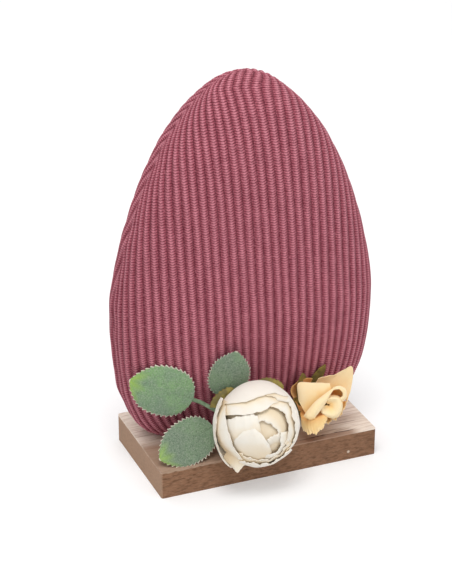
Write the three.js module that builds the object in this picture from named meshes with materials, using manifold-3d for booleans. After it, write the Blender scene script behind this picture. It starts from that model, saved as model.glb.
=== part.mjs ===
// Decorative egg on a wooden stand: a flattened foam egg in a ribbed knit cover, pinned to a small
// veneered board and trimmed with two artificial roses and a sprig of flocked leaves.
//
// Millimetres, +Z up. The origin is the middle of the board's underside, +X runs along the long
// front edge to the viewer's right, and the front looks along -Y.

import * as THREE from 'three';
import { mergeVertices } from 'three/addons/utils/BufferGeometryUtils.js';
import Module from 'manifold-3d';

const wasm = await Module();
wasm.setup();

const overallHeight = 215.5; // from the board's underside to the egg's top

// Stand
const boardLength = 125;
const boardDepth = 69;
const boardThickness = 16; // with its veneer
const boardCornerRadius = 1.2;
const veneerThickness = 0.6;

// Egg, with heights measured from the board's top
const eggWidth = 148;
const eggHeight = overallHeight - boardThickness;
const eggWidestHeight = 71.5;
const eggFrontDepth = 30; // from the seam to the front face, at the widest height
const eggBackDepth = 22;
const eggOffsetX = 1;
const eggSeamY = 10; // the seam between the two covers stands behind the board's middle
const eggBottomDrop = 8; // the round bottom is cut flat this far above the point where it would close

// Knit cover
const clothThickness = 3;
const ribPitch = 4.75;
const ribDepth = 1.1;
const coverRows = 12;

// Foam core
const cavitySink = 0.5; // the covers' hollow is open at the board

// Dowels between board and egg
const dowelRadius = 4;
const dowelLength = 40;
const dowelDepthInBoard = 11;
const dowelSpacing = 50;
const dowelBehindSeam = -1;

// White rose: nested petals on a short stem, the outer ones broad and the inner ones nearly closed
const whiteRadius = 23.3;
const whiteBudRadius = 4.3;
const whitePetals = [
  { layer: 0, from: -46, to: 52, rims: [98, 122, 121, 127, 134, 130, 112] },
  { layer: 1, from: 30, to: 166, rims: [120, 138, 136, 137, 134, 118, 92] },
  { layer: 1, from: 240, to: 340, rims: [98, 118, 125, 126, 124, 114, 94] },
  { layer: 2, from: 132, to: 252, rims: [92, 108, 107, 110, 112, 101, 84] },
  { layer: 2, from: -58, to: 60, rims: [100, 124, 130, 137, 139, 140, 118] },
  { layer: 3, from: 132, to: 250, rims: [88, 110, 120, 124, 126, 118, 100] },
  { layer: 3, from: 25, to: 128, rims: [104, 138, 147, 150, 148, 120] },
  { layer: 4, from: 206, to: 274, rims: [94, 118, 123, 120, 100] },
  { layer: 4, from: -82, to: 45, rims: [112, 127, 129, 139, 144, 147, 134] },
  { layer: 4, from: 136, to: 202, rims: [140, 161, 154, 134, 112] },
  { layer: 5, from: 195, to: 300, rims: [110, 128, 134, 132, 124, 108] },
  { layer: 6, from: 150, to: 292, rims: [150, 166, 168, 164, 134] },
  { layer: 5, from: -56, to: 165, rims: [140, 158, 163, 164, 164, 162, 148] },
  { layer: 7, from: -60, to: 200, rims: [148, 162, 168, 169, 168, 162, 148] },
  { layer: 8, from: 130, to: 372, rims: [150, 164, 169, 169, 164, 150] },
];
const whiteSepals = [
  { spin: 128, rise: 76, width: 11 },
  { spin: 74, rise: 96, width: 13 },
  { spin: 12, rise: 84, width: 11 },
  { spin: 190, rise: 70, width: 10 },
];
const whiteCentreX = -11;
const whiteBehind = 11.2; // from the bloom's back to the knit, straight behind its centre
const whiteCentreHeight = 22; // above the board's top
const whiteTurn = -8; // degrees towards the viewer's left
const whiteTilt = 20; // degrees of upward look

// Yellow rose: fewer, wider petals that open outwards
const yellowRadius = 15.6;
const yellowBudRadius = 5;
const yellowPetals = [
  { layer: 0, from: -30, to: 90, rims: [82, 97, 103, 98, 95, 80], flare: 5 },
  { layer: 1, from: 75, to: 225, rims: [68, 82, 86, 83, 78, 66], flare: 2.6 },
  { layer: 2, from: 192, to: 332, rims: [70, 85, 88, 89, 83, 71], flare: 2.4 },
  { layer: 3, from: 30, to: 160, rims: [78, 93, 95, 97, 90, 77], flare: 2.2 },
  { layer: 4, from: 260, to: 400, rims: [75, 91, 94, 92, 89, 74], flare: 1.4 },
  { layer: 5, from: 125, to: 275, rims: [84, 101, 103, 105, 98, 82], flare: 0.6 },
  { layer: 6, from: -5, to: 155, rims: [88, 107, 112, 109, 103, 89], flare: 0.3 },
  { layer: 7, from: 225, to: 395, rims: [94, 113, 119, 116, 112, 95] },
];
const yellowSepals = [
  { spin: 165, rise: 80, width: 11, flare: 3 },
  { spin: 108, rise: 84, width: 11, flare: 5.2 },
  { spin: 62, rise: 88, width: 9, flare: 5.4 },
];
const yellowCentreX = 33;
const yellowBehind = 4.6;
const yellowCentreHeight = 17.5;
const yellowTurn = 20;
const yellowTilt = 24;

// Petals and sepals of both roses, with angles in degrees. A petal lies on one of the bloom's layers,
// counted inwards, between two turns round its axis, and rims are the angles of its rim from the pole
// of the bloom's back, even steps apart. A sepal is placed by its spin, the turn of its middle, and
// its rise, the angle of its tip from that pole. flare opens either of them outwards.
const petalThickness = 0.35;
const layerPitch = 1.1; // from each layer of petals to the next
const petalNarrowing = 0.12; // how much of its span a petal loses at the rim
const bloomDepthShare = 0.75; // how deep the back of a bloom is, against its radius
const bloomCrownShare = 0.88; // and how far its front stands out
const calyxThickness = 0.8;
const sepalThickness = 0.65;
const sepalTip = 0.06; // the blunt tip's share of a sepal's width
const sepalShape = { shoulder: 0.75, belly: 0.6, point: 1.6 };
const calyxReach = 34; // degrees up from the pole of the bloom's back
const openingStart = Math.PI / 4; // the angle from that pole where flared petals start to open

// Stems and glue
const roseStemRadius = 2;
const gluePadRadius = 7;
const gluePadHeight = 3;
const gluePadShoulder = [[0.93, 0.5], [0.72, 1]]; // shares of the pad's radius and height
const yellowStemReach = 4; // how far the yellow rose's glue lies to the left of its bloom
const stemSlack = 2.5; // how far a rose stem runs straight back before it bends down

// Flocked leaves. A base is in radii of the white bloom to the right, back and up from its centre,
// and a leaf runs from it in a direction, with its upper side to its face. bow arches the leaf
// along and cup across.
const leafForms = {
  leaf_left: {
    reach: 35.5, width: 29, bow: 1.5, cup: 1.5,
    base: [-1.19, 1.07, 0.37], direction: [-0.9, 0.25, 0.38], face: [-0.31, -0.9, 0.05],
  },
  leaf_upper: {
    reach: 28.5, width: 21.5, bow: 0.6, cup: 1.4,
    base: [-0.45, 1.04, 0.31], direction: [0.27, -0.15, 1], face: [-0.25, -0.95, 0.1],
  },
  leaf_lower: {
    reach: 33, width: 24, bow: 1, cup: 1,
    base: [-0.81, 0.71, -0.28], direction: [-0.96, -0.1, -0.23], face: [-0.06, -0.78, 0.52],
  },
};
const leafThickness = 1;
const leafShape = { lead: 0.85, belly: 2.3, blunt: 1.7 }; // where a leaf is widest, how round its ends
const leafTipWidth = 0.8;
const leafTeeth = 18; // on each edge
const toothDepth = 0.8;
const leafClearance = 0.6; // between a leaf and the knit behind it
const petioleRadius = 1.1;
const petioleStraight = 4; // a petiole meets its leaf in line with the leaf's rib
const forkDistance = 7; // from a side leaf to the place where its petiole leaves the stalk
const forkShare = 0.45;

// Running clearance between pieces that touch on the real thing
const fitGap = 0.3;

// Facets round and along the curved pieces
const facets = {
  corner: 4, dowel: 20, foamSides: 26, foamLevels: 12, section: 48,
  petalColumns: 7, petalRows: 7, petalWidth: 5, petalRise: 2.4,
  cup: 16, cupRows: 3, sepalColumns: 3, sepalRows: 6, bud: 14, budRows: 8,
  pad: 20, stem: 10, stemSteps: 14, petiole: 8, petioleSteps: 9, leafColumns: 4,
};
const weldDistance = 1e-4;

// Shape of the egg: each exponent pair rounds one quarter of its outline
const outlineShape = {
  upperWidth: { bend: 1.46, blunt: 1.9 },
  lowerWidth: { bend: 2.46, blunt: 3.5 },
  upperDepth: { bend: 4, blunt: 1.75 },
  lowerDepth: { bend: 1.3, blunt: 3 },
};
const sectionShape = { side: 2.6, face: 3 };
const bottomWallShare = 0.4; // how much of an inset the bottom closes by
const rowCrowding = 0.7; // how much closer rows of facets lie at the egg's bottom and top

// Finishes
const finish = (color, roughness) => new THREE.MeshStandardMaterial({ color, roughness, metalness: 0 });
const materials = {
  fibreboard: finish('#7d5a43', 0.85),
  veneer: finish('#d9c5b0', 0.7),
  beech: finish('#c9a77c', 0.7),
  foam: finish('#f4f3ee', 0.9),
  knit: finish('#b0607a', 0.95),
  whitePetal: finish('#efe9e0', 0.8),
  yellowPetal: finish('#f2cf8d', 0.8),
  sepal: finish('#8a7a35', 0.7),
  leaf: finish('#7f9f7c', 0.95),
  stem: finish('#6f8f63', 0.8),
  glue: finish('#e6e0cf', 0.4),
};

// Geometry helpers

const degrees = THREE.MathUtils.degToRad;
const lerp = THREE.MathUtils.lerp;

// A closed mesh from points and triangles, with its faces turned outwards.
function closedMesh(points, triangles) {
  let volume = 0;
  const cross = new THREE.Vector3();
  for (const [a, b, c] of triangles) {
    volume += points[a].dot(cross.crossVectors(points[b], points[c]));
  }
  const index = triangles.flatMap(([a, b, c]) => (volume > 0 ? [a, b, c] : [a, c, b]));
  const geometry = new THREE.BufferGeometry();
  const numbers = points.flatMap((p) => p.toArray());
  geometry.setAttribute('position', new THREE.Float32BufferAttribute(numbers, 3));
  geometry.setIndex(index);
  geometry.computeVertexNormals();
  return geometry;
}

// The same mesh with its shared corners merged, as a solid that can be cut and joined.
function toSolid(geometry) {
  const bare = geometry.clone();
  bare.deleteAttribute('normal');
  bare.deleteAttribute('uv');
  const merged = mergeVertices(bare, weldDistance);
  return new wasm.Manifold(new wasm.Mesh({
    numProp: 3,
    vertProperties: new Float32Array(merged.attributes.position.array),
    triVerts: new Uint32Array(merged.index.array),
  }));
}

function fromSolid(solid) {
  const mesh = solid.getMesh();
  const geometry = new THREE.BufferGeometry();
  geometry.setAttribute('position', new THREE.BufferAttribute(new Float32Array(mesh.vertProperties), 3));
  geometry.setIndex(new THREE.BufferAttribute(new Uint32Array(mesh.triVerts), 1));
  geometry.computeVertexNormals();
  return geometry;
}

// Triangles over a grid of vertices whose numbers run column by column.
function gridTriangles(columns, rows, first, flip) {
  const triangles = [];
  for (let i = 0; i < columns; i++) {
    for (let j = 0; j < rows; j++) {
      const a = first + i * (rows + 1) + j;
      const b = a + rows + 1;
      if (flip) triangles.push([a, a + 1, b], [b, a + 1, b + 1]);
      else triangles.push([a, b, a + 1], [b, b + 1, a + 1]);
    }
  }
  return triangles;
}

// The rim of such a grid as a loop of { index, at }, where at runs 0 to 4 round the four sides.
function gridRim(acrossValues, riseValues, first) {
  const rows = riseValues.length - 1;
  const columns = acrossValues.length - 1;
  const number = (i, j) => first + i * (rows + 1) + j;
  const across = acrossValues.map((f, i) => ({ f: (f + 1) / 2, i }));
  const rise = riseValues.map((t, j) => ({ t, j }));
  return [
    ...across.slice(0, -1).map(({ f, i }) => ({ index: number(i, 0), at: f })),
    ...rise.slice(0, -1).map(({ t, j }) => ({ index: number(columns, j), at: 1 + t })),
    ...across.slice(1).reverse().map(({ f, i }) => ({ index: number(i, rows), at: 3 - f })),
    ...rise.slice(1).reverse().map(({ t, j }) => ({ index: number(0, j), at: 4 - t })),
  ];
}

// Triangles between two rims, which may have different numbers of points.
function zipRims(outer, inner) {
  const triangles = [];
  let i = 0;
  let j = 0;
  const atOf = (rim, k) => (k < rim.length ? rim[k].at : 4);
  const indexOf = (rim, k) => rim[k % rim.length].index;
  while (i < outer.length || j < inner.length) {
    const stepOuter = j >= inner.length || (i < outer.length && atOf(outer, i + 1) <= atOf(inner, j + 1));
    if (stepOuter) triangles.push([indexOf(outer, i + 1), indexOf(outer, i), indexOf(inner, j)]);
    else triangles.push([indexOf(outer, i), indexOf(inner, j), indexOf(inner, j + 1)]);
    if (stepOuter) i++;
    else j++;
  }
  return triangles;
}

// A sheet of even thickness round the surface that middle(u, v) gives for u and v from 0 to 1.
function thickSheet(columns, rows, thickness, middle) {
  const step = 1e-3;
  const front = [];
  const back = [];
  for (let i = 0; i <= columns; i++) {
    for (let j = 0; j <= rows; j++) {
      const [u, v] = [i / columns, j / rows];
      const along = middle(Math.min(u + step, 1), v).sub(middle(Math.max(u - step, 0), v));
      const up = middle(u, Math.min(v + step, 1)).sub(middle(u, Math.max(v - step, 0)));
      const normal = along.cross(up).setLength(thickness / 2);
      front.push(middle(u, v).add(normal));
      back.push(middle(u, v).sub(normal));
    }
  }
  const even = (count) => Array.from({ length: count + 1 }, (_, k) => k / count);
  const across = even(columns).map((u) => 2 * u - 1);
  const rise = even(rows);
  return closedMesh([...front, ...back], [
    ...gridTriangles(columns, rows, 0, false),
    ...gridTriangles(columns, rows, front.length, true),
    ...zipRims(gridRim(across, rise, 0), gridRim(across, rise, front.length)),
  ]);
}

// A profile of [radius, height] points turned round the Z axis, with its faces outwards.
function turned(profile, sides) {
  const lathe = new THREE.LatheGeometry(profile.map(([r, h]) => new THREE.Vector2(r, h)), sides);
  lathe.rotateX(Math.PI / 2);
  lathe.deleteAttribute('normal');
  lathe.deleteAttribute('uv');
  const merged = mergeVertices(lathe, weldDistance);
  const { position } = merged.attributes;
  const pointAt = (_, k) => new THREE.Vector3().fromBufferAttribute(position, k);
  const points = Array.from({ length: position.count }, pointAt);
  const corners = Array.from(merged.index.array);
  const triangles = Array.from({ length: corners.length / 3 }, (_, k) => corners.slice(3 * k, 3 * k + 3));
  return closedMesh(points, triangles.filter(([a, b, c]) => a !== b && b !== c && c !== a));
}

// A round bar along a smooth curve through the given points.
function bar(points, radius, sides, steps) {
  const round = new THREE.Shape();
  round.absarc(0, 0, radius, 0, Math.PI * 2);
  const extrudePath = new THREE.CatmullRomCurve3(points);
  const geometry = new THREE.ExtrudeGeometry(round, { steps, extrudePath, curveSegments: sides / 2 });
  return fromSolid(toSolid(geometry));
}

// Egg surface

// How much of the full size is left at a share x of the way from the widest height to the end.
const fade = (x, { bend, blunt }) => (1 - Math.min(x, 1) ** bend) ** (1 / blunt);

// The egg's sizes after its whole surface is moved in by an inset.
function eggSize(inset) {
  return {
    halfWidth: eggWidth / 2 - inset,
    top: boardThickness + eggHeight - inset,
    widest: boardThickness + eggWidestHeight,
    close: boardThickness - eggBottomDrop + bottomWallShare * inset,
    front: eggFrontDepth - inset,
    back: eggBackDepth - inset,
  };
}

// Half width and share of the full depth at height z.
function eggLevel(size, z) {
  if (z >= size.widest) {
    const h = (z - size.widest) / (size.top - size.widest);
    return {
      halfWidth: size.halfWidth * fade(h, outlineShape.upperWidth),
      depthShare: fade(h, outlineShape.upperDepth),
    };
  }
  const g = (size.widest - z) / (size.widest - size.close);
  return {
    halfWidth: size.halfWidth * fade(g, outlineShape.lowerWidth),
    depthShare: fade(g, outlineShape.lowerDepth),
  };
}

// Points from the middle of one face round to the seam at height z, with their running length.
function halfSection(size, depth, z) {
  const { halfWidth, depthShare } = eggLevel(size, z);
  const points = [];
  let length = 0;
  for (let k = 0; k <= facets.section; k++) {
    const angle = (Math.PI / 2) * (k / facets.section);
    const x = halfWidth * Math.sin(angle) ** (2 / sectionShape.side);
    const y = k === facets.section ? 0 : depth * depthShare * Math.cos(angle) ** (2 / sectionShape.face);
    if (k > 0) length += Math.hypot(x - points[k - 1].x, y - points[k - 1].y);
    points.push({ x, y, length });
  }
  return points;
}

const halfGirth = (size, depth, z) => halfSection(size, depth, z).at(-1).length;

// The height at which a rib that lies a given way from the middle runs off the upper outline.
function ribTop(size, depth, reach) {
  let low = size.widest;
  let high = size.top;
  for (let k = 0; k < 40; k++) {
    const middle = (low + high) / 2;
    if (halfGirth(size, depth, middle) > reach) low = middle;
    else high = middle;
  }
  return low;
}

// A point on one face of the egg. Ribs run straight up the cloth and off its outline, and below the
// widest height they draw together. across is -1 to 1 from seam to seam, rise is 0 to 1 up the rib.
function facePoint(size, face, across, rise) {
  const depth = face.depth(size);
  const reach = Math.abs(across) * halfGirth(size, depth, size.widest);
  const z = lerp(boardThickness, ribTop(size, depth, reach), rise);
  const section = halfSection(size, depth, z);
  const along = z < size.widest ? Math.abs(across) * section.at(-1).length : reach;
  const k = Math.max(1, section.findIndex((p) => p.length >= along - weldDistance));
  const [before, after] = [section[k - 1], section[k]];
  const share = Math.min(1, (along - before.length) / (after.length - before.length || 1));
  return new THREE.Vector3(
    eggOffsetX + Math.sign(across) * lerp(before.x, after.x, share),
    eggSeamY + face.side * (fitGap / 2 + lerp(before.y, after.y, share)),
    z);
}

const frontFace = { side: -1, depth: (size) => size.front };
const backFace = { side: 1, depth: (size) => size.back };

// Rows are closer together at the round bottom and at the outline.
const riseValues = (rows) => Array.from({ length: rows + 1 }, (_, j) => {
  const even = j / rows;
  return lerp(even, (1 - Math.cos(Math.PI * even)) / 2, rowCrowding);
});

// One knit cover: a ribbed half egg, flat at the seam and at the board, hollowed for the foam.
// Ridges lie on the full surface, with furrows sunk between them.
function knitCover(face) {
  const ridge = eggSize(0);
  const furrow = eggSize(ribDepth);
  const reach = halfGirth(ridge, face.depth(ridge), ridge.widest);
  const half = Math.floor(reach / (ribPitch / 2) - 0.5);
  const columns = [-1];
  for (let k = -half; k <= half; k++) columns.push((k * ribPitch) / 2 / reach);
  columns.push(1);
  const rises = riseValues(coverRows);
  const points = [];
  columns.forEach((across, i) => {
    const isFurrow = i > 0 && i < columns.length - 1 && Math.abs(i - half - 1) % 2 === 1;
    for (const rise of rises) points.push(facePoint(isFurrow ? furrow : ridge, face, across, rise));
  });
  const foot = points.push(new THREE.Vector3(
    eggOffsetX, eggSeamY + (face.side * fitGap) / 2, boardThickness)) - 1;
  const rim = gridRim(columns, rises, 0);
  const halfEgg = closedMesh(points, [
    ...gridTriangles(columns.length - 1, rises.length - 1, 0, false),
    ...rim.map(({ index }, k) => [foot, rim[(k + 1) % rim.length].index, index]),
  ]);
  return fromSolid(toSolid(halfEgg).subtract(toSolid(foamEgg(clothThickness, cavitySink))));
}

// The foam egg as level rings between a flat bottom and the top point. sink lowers its bottom, for
// a cavity that has to run out of the covers.
function foamEgg(inset, sink = 0) {
  const size = eggSize(inset);
  const rises = riseValues(facets.foamLevels).slice(0, -1);
  const levels = rises.map((rise) => lerp(boardThickness, size.top, rise));
  const points = [];
  levels.forEach((z, j) => {
    const { halfWidth, depthShare } = eggLevel(size, z);
    for (let k = 0; k < facets.foamSides; k++) {
      const angle = (2 * Math.PI * k) / facets.foamSides;
      const [s, c] = [Math.sin(angle), Math.cos(angle)];
      const depth = (c > 0 ? size.back : size.front) * depthShare;
      points.push(new THREE.Vector3(
        eggOffsetX + halfWidth * Math.sign(s) * Math.abs(s) ** (2 / sectionShape.side),
        eggSeamY + depth * Math.sign(c) * Math.abs(c) ** (2 / sectionShape.face),
        j === 0 ? z - sink : z));
    }
  });
  const top = points.push(new THREE.Vector3(eggOffsetX, eggSeamY, size.top)) - 1;
  const bottom = points.push(new THREE.Vector3(eggOffsetX, eggSeamY, boardThickness - sink)) - 1;
  const triangles = [];
  for (let k = 0; k < facets.foamSides; k++) {
    const next = (k + 1) % facets.foamSides;
    for (let j = 0; j < levels.length - 1; j++) {
      const [a, b] = [j * facets.foamSides + k, j * facets.foamSides + next];
      triangles.push([a, b, a + facets.foamSides], [b, b + facets.foamSides, a + facets.foamSides]);
    }
    const last = (levels.length - 1) * facets.foamSides;
    triangles.push([bottom, next, k], [top, last + k, last + next]);
  }
  return closedMesh(points, triangles);
}

// The y of the front face's surface at a place, or the seam's where the egg has no front there.
function eggFrontY(x, z) {
  const size = eggSize(0);
  const { halfWidth, depthShare } = eggLevel(size, Math.min(Math.max(z, boardThickness), size.top));
  const across = Math.min(Math.abs(x - eggOffsetX) / halfWidth, 1) ** (sectionShape.side / 2);
  return eggSeamY - size.front * depthShare * (1 - across ** 2) ** (1 / sectionShape.face);
}

// Rose parts, in the bloom's own frame: the bloom opens along +Z round its centre

// The round shell a given way inside a bloom's outermost one: how far it reaches beside the centre,
// behind it and in front of it.
const shellInside = (bloomRadius, inset) => ({
  radius: bloomRadius - inset,
  depth: bloomRadius * bloomDepthShare - inset,
  crown: bloomRadius * bloomCrownShare - inset,
});

// How far beside and in front of the centre a shell lies, at an angle up from the pole of its back.
const shellProfile = ({ radius, depth, crown }, polar) => [
  radius * Math.sin(polar), -(polar < Math.PI / 2 ? depth : crown) * Math.cos(polar)];

// A point of a shell at such an angle and a turn round the axis. Past half way up its back, the shell
// opens outwards by a share of flare.
function shellPoint(shell, flare, polar, turn) {
  const [beside, front] = shellProfile(shell, polar);
  const out = beside + flare * Math.max(0, (polar - openingStart) / openingStart) ** 2;
  return new THREE.Vector3(out * Math.cos(turn), out * Math.sin(turn), front);
}

// A smooth curve through even steps of values, at a share of its length.
function between(values, share) {
  return new THREE.SplineCurve(values.map((value, k) => new THREE.Vector2(k, value))).getPoint(share).y;
}

// A cupped petal on its shell, from its root at the stem to its waving rim.
function petal(bloomRadius, { layer, from, to, rims, flare = 0 }) {
  const shell = shellInside(bloomRadius, layer * layerPitch);
  const root = Math.asin((roseStemRadius + fitGap + petalThickness / 2) / shell.radius);
  const halfSpan = degrees(to - from) / 2;
  const surface = (u, v) => {
    const polar = lerp(root, degrees(between(rims, u)), v);
    const sideways = halfSpan * (2 * u - 1) * (1 - petalNarrowing * v ** 4);
    return shellPoint(shell, flare, polar, degrees(from) + halfSpan + sideways);
  };
  const around = shell.radius * 2 * halfSpan;
  const columns = Math.max(facets.petalColumns, Math.round(around / facets.petalWidth));
  const rows = Math.max(facets.petalRows, Math.round(shell.radius / facets.petalRise));
  return thickSheet(columns, rows, petalThickness, surface);
}

// The moulded green cup behind the petals, with its pointed sepals.
function calyx(bloomRadius, sepals) {
  const clear = petalThickness / 2 + fitGap;
  const inside = shellInside(bloomRadius, -clear);
  const middle = shellInside(bloomRadius, -clear - calyxThickness / 2);
  const outside = shellInside(bloomRadius, -clear - calyxThickness);
  const hole = ({ radius }) => Math.asin((roseStemRadius + fitGap) / radius);
  const arc = (shell, from, to) => Array.from({ length: facets.cupRows + 1 }, (_, k) => (
    shellProfile(shell, lerp(from, to, k / facets.cupRows))));
  const edge = degrees(calyxReach);
  const profile = [...arc(outside, hole(outside), edge), ...arc(inside, edge, hole(inside))];
  profile.push(profile[0]);
  const cup = toSolid(turned(profile, facets.cup));
  const start = edge - (2 * calyxThickness) / middle.radius;
  const { shoulder, belly, point } = sepalShape;
  const sepalSurface = ({ spin, rise, width, flare = 0 }) => (u, v) => {
    const polar = lerp(start, degrees(rise), v);
    const share = Math.sqrt(1 - v ** point) * (shoulder + belly * v * (1 - v));
    const sideways = (width / 2) * Math.max(sepalTip, share) * (2 * u - 1);
    const turn = degrees(spin) + sideways / Math.max(middle.radius * Math.sin(polar), width / 2);
    return shellPoint(middle, flare, polar, turn);
  };
  return fromSolid(sepals.reduce((body, sepal) => body.add(toSolid(
    thickSheet(facets.sepalColumns, facets.sepalRows, sepalThickness, sepalSurface(sepal)))), cup));
}

// The rolled bud at the heart of a bloom, which reaches up to just under the innermost petal.
function bud(bloomRadius, budRadius, petals) {
  const clear = petalThickness / 2 + fitGap;
  const { crown } = shellInside(bloomRadius, petals.at(-1).layer * layerPitch + clear);
  const shell = { radius: budRadius, depth: budRadius * bloomDepthShare, crown };
  const rows = facets.budRows;
  return turned(Array.from({ length: rows + 1 }, (_, k) => {
    const [beside, front] = shellProfile(shell, (Math.PI * k) / rows);
    return [k % rows === 0 ? 0 : beside, front];
  }), facets.bud);
}

// Assembly

const egg = new THREE.Group();

function add(name, geometry, material, parent = egg) {
  const mesh = new THREE.Mesh(geometry, material);
  mesh.name = name;
  parent.add(mesh);
  return mesh;
}

// Stand: fibreboard block, veneer and the two blind holes for the dowels

const dowelPlaces = [-1, 1].map((side) => new THREE.Vector2(
  eggOffsetX + (side * dowelSpacing) / 2, eggSeamY + dowelBehindSeam));
const dowelFoot = boardThickness - dowelDepthInBoard;

function slab(thickness, z) {
  const [w, d, r] = [boardLength / 2, boardDepth / 2, boardCornerRadius];
  const outline = new THREE.Shape();
  outline.absarc(w - r, d - r, r, 0, Math.PI / 2);
  outline.absarc(r - w, d - r, r, Math.PI / 2, Math.PI);
  outline.absarc(r - w, r - d, r, Math.PI, Math.PI * 1.5);
  outline.absarc(w - r, r - d, r, Math.PI * 1.5, Math.PI * 2);
  const options = { depth: thickness, bevelEnabled: false, curveSegments: facets.corner };
  return new THREE.ExtrudeGeometry(outline, options).translate(0, 0, z);
}

function upright(radius, place, from, to) {
  const geometry = new THREE.CylinderGeometry(radius, radius, to - from, facets.dowel);
  return geometry.rotateX(Math.PI / 2).translate(place.x, place.y, (from + to) / 2);
}

// Cuts the clearance hole of each dowel out of a piece.
function boredForDowels(geometry) {
  const [foot, head] = [dowelFoot - fitGap, dowelFoot + dowelLength + fitGap];
  const holes = dowelPlaces.map((place) => toSolid(upright(dowelRadius + fitGap, place, foot, head)));
  return fromSolid(holes.reduce((solid, hole) => solid.subtract(hole), toSolid(geometry)));
}

const blockThickness = boardThickness - veneerThickness;
add('base_board', boredForDowels(slab(blockThickness, 0)), materials.fibreboard);
add('board_top_veneer', boredForDowels(slab(veneerThickness, blockThickness)), materials.veneer);
dowelPlaces.forEach((place, k) => {
  add(`dowel_${['left', 'right'][k]}`, upright(dowelRadius, place, dowelFoot, dowelFoot + dowelLength),
    materials.beech);
});

// Egg: foam core between the front and back knit covers

add('egg_foam_core', boredForDowels(foamEgg(clothThickness + fitGap)), materials.foam);
add('knit_cover_front', knitCover(frontFace), materials.knit);
add('knit_cover_back', knitCover(backFace), materials.knit);

// Glue pads on the board, in the corner in front of the egg

function gluePad(x) {
  const knit = eggFrontY(x, boardThickness + gluePadHeight);
  const y = knit - roseStemRadius - 2 * fitGap - gluePadRadius / 2;
  const shoulder = gluePadShoulder.map(([r, h]) => [r * gluePadRadius, h * gluePadHeight]);
  const profile = [[0, 0], [gluePadRadius, 0], ...shoulder, [0, gluePadHeight]];
  const geometry = turned(profile, facets.pad).translate(x, y, boardThickness);
  return { geometry, top: new THREE.Vector3(x, y, boardThickness + gluePadHeight + fitGap) };
}

const whitePad = gluePad(whiteCentreX);
const yellowPad = gluePad(yellowCentreX - yellowStemReach);
add('glue_pad_white_rose', whitePad.geometry, materials.glue);
add('glue_pad_yellow_rose', yellowPad.geometry, materials.glue);

// Roses

// The centre of a bloom whose back stands a given way in front of the knit.
function bloomCentre(x, height, radius, behind) {
  const z = boardThickness + height;
  return new THREE.Vector3(x, eggFrontY(x, z) - behind - radius * bloomDepthShare, z);
}

// A group whose +Z is the way that a bloom looks, and whose +Y is as near to up as it can be.
function bloomGroup(centre, turn, tilt) {
  const group = new THREE.Group();
  const look = new THREE.Vector3(
    Math.sin(degrees(turn)) * Math.cos(degrees(tilt)),
    -Math.cos(degrees(turn)) * Math.cos(degrees(tilt)),
    Math.sin(degrees(tilt)));
  const right = new THREE.Vector3(0, 0, 1).cross(look).normalize();
  const frame = new THREE.Matrix4().makeBasis(right, look.clone().cross(right), look);
  group.quaternion.setFromRotationMatrix(frame);
  group.position.copy(centre);
  egg.add(group);
  return { group, look };
}

// A stem from the glue pad, up the bloom's axis, to just under the bud.
function roseStem(name, pad, centre, look, bloomRadius, budRadius) {
  const behind = (distance) => centre.clone().addScaledVector(look, -distance);
  const budFoot = budRadius * bloomDepthShare + fitGap;
  const back = bloomRadius * bloomDepthShare;
  const points = [pad.top, pad.top.clone().setZ(pad.top.z + roseStemRadius),
    behind(back + stemSlack), behind(back + 1), behind(lerp(back, budFoot, 0.5)), behind(budFoot)];
  add(name, bar(points, roseStemRadius, facets.stem, facets.stemSteps), materials.stem);
}

const whiteCentre = bloomCentre(whiteCentreX, whiteCentreHeight, whiteRadius, whiteBehind);
const white = bloomGroup(whiteCentre, whiteTurn, whiteTilt);
whitePetals.forEach((shape, k) => {
  const name = `white_rose_petal_${String(k + 1).padStart(2, '0')}`;
  add(name, petal(whiteRadius, shape), materials.whitePetal, white.group);
});
const whiteBud = bud(whiteRadius, whiteBudRadius, whitePetals);
add('white_rose_bud', whiteBud, materials.whitePetal, white.group);
add('white_rose_calyx', calyx(whiteRadius, whiteSepals), materials.sepal, white.group);
roseStem('white_rose_stem', whitePad, whiteCentre, white.look, whiteRadius, whiteBudRadius);

const yellowCentre = bloomCentre(yellowCentreX, yellowCentreHeight, yellowRadius, yellowBehind);
const yellow = bloomGroup(yellowCentre, yellowTurn, yellowTilt);
yellowPetals.forEach((shape, k) => {
  add(`yellow_rose_petal_${k + 1}`, petal(yellowRadius, shape), materials.yellowPetal, yellow.group);
});
const yellowBud = bud(yellowRadius, yellowBudRadius, yellowPetals);
add('yellow_rose_bud', yellowBud, materials.yellowPetal, yellow.group);
add('yellow_rose_calyx', calyx(yellowRadius, yellowSepals), materials.sepal, yellow.group);
roseStem('yellow_rose_stem', yellowPad, yellowCentre, yellow.look, yellowRadius, yellowBudRadius);

// Leaf sprig

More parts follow.
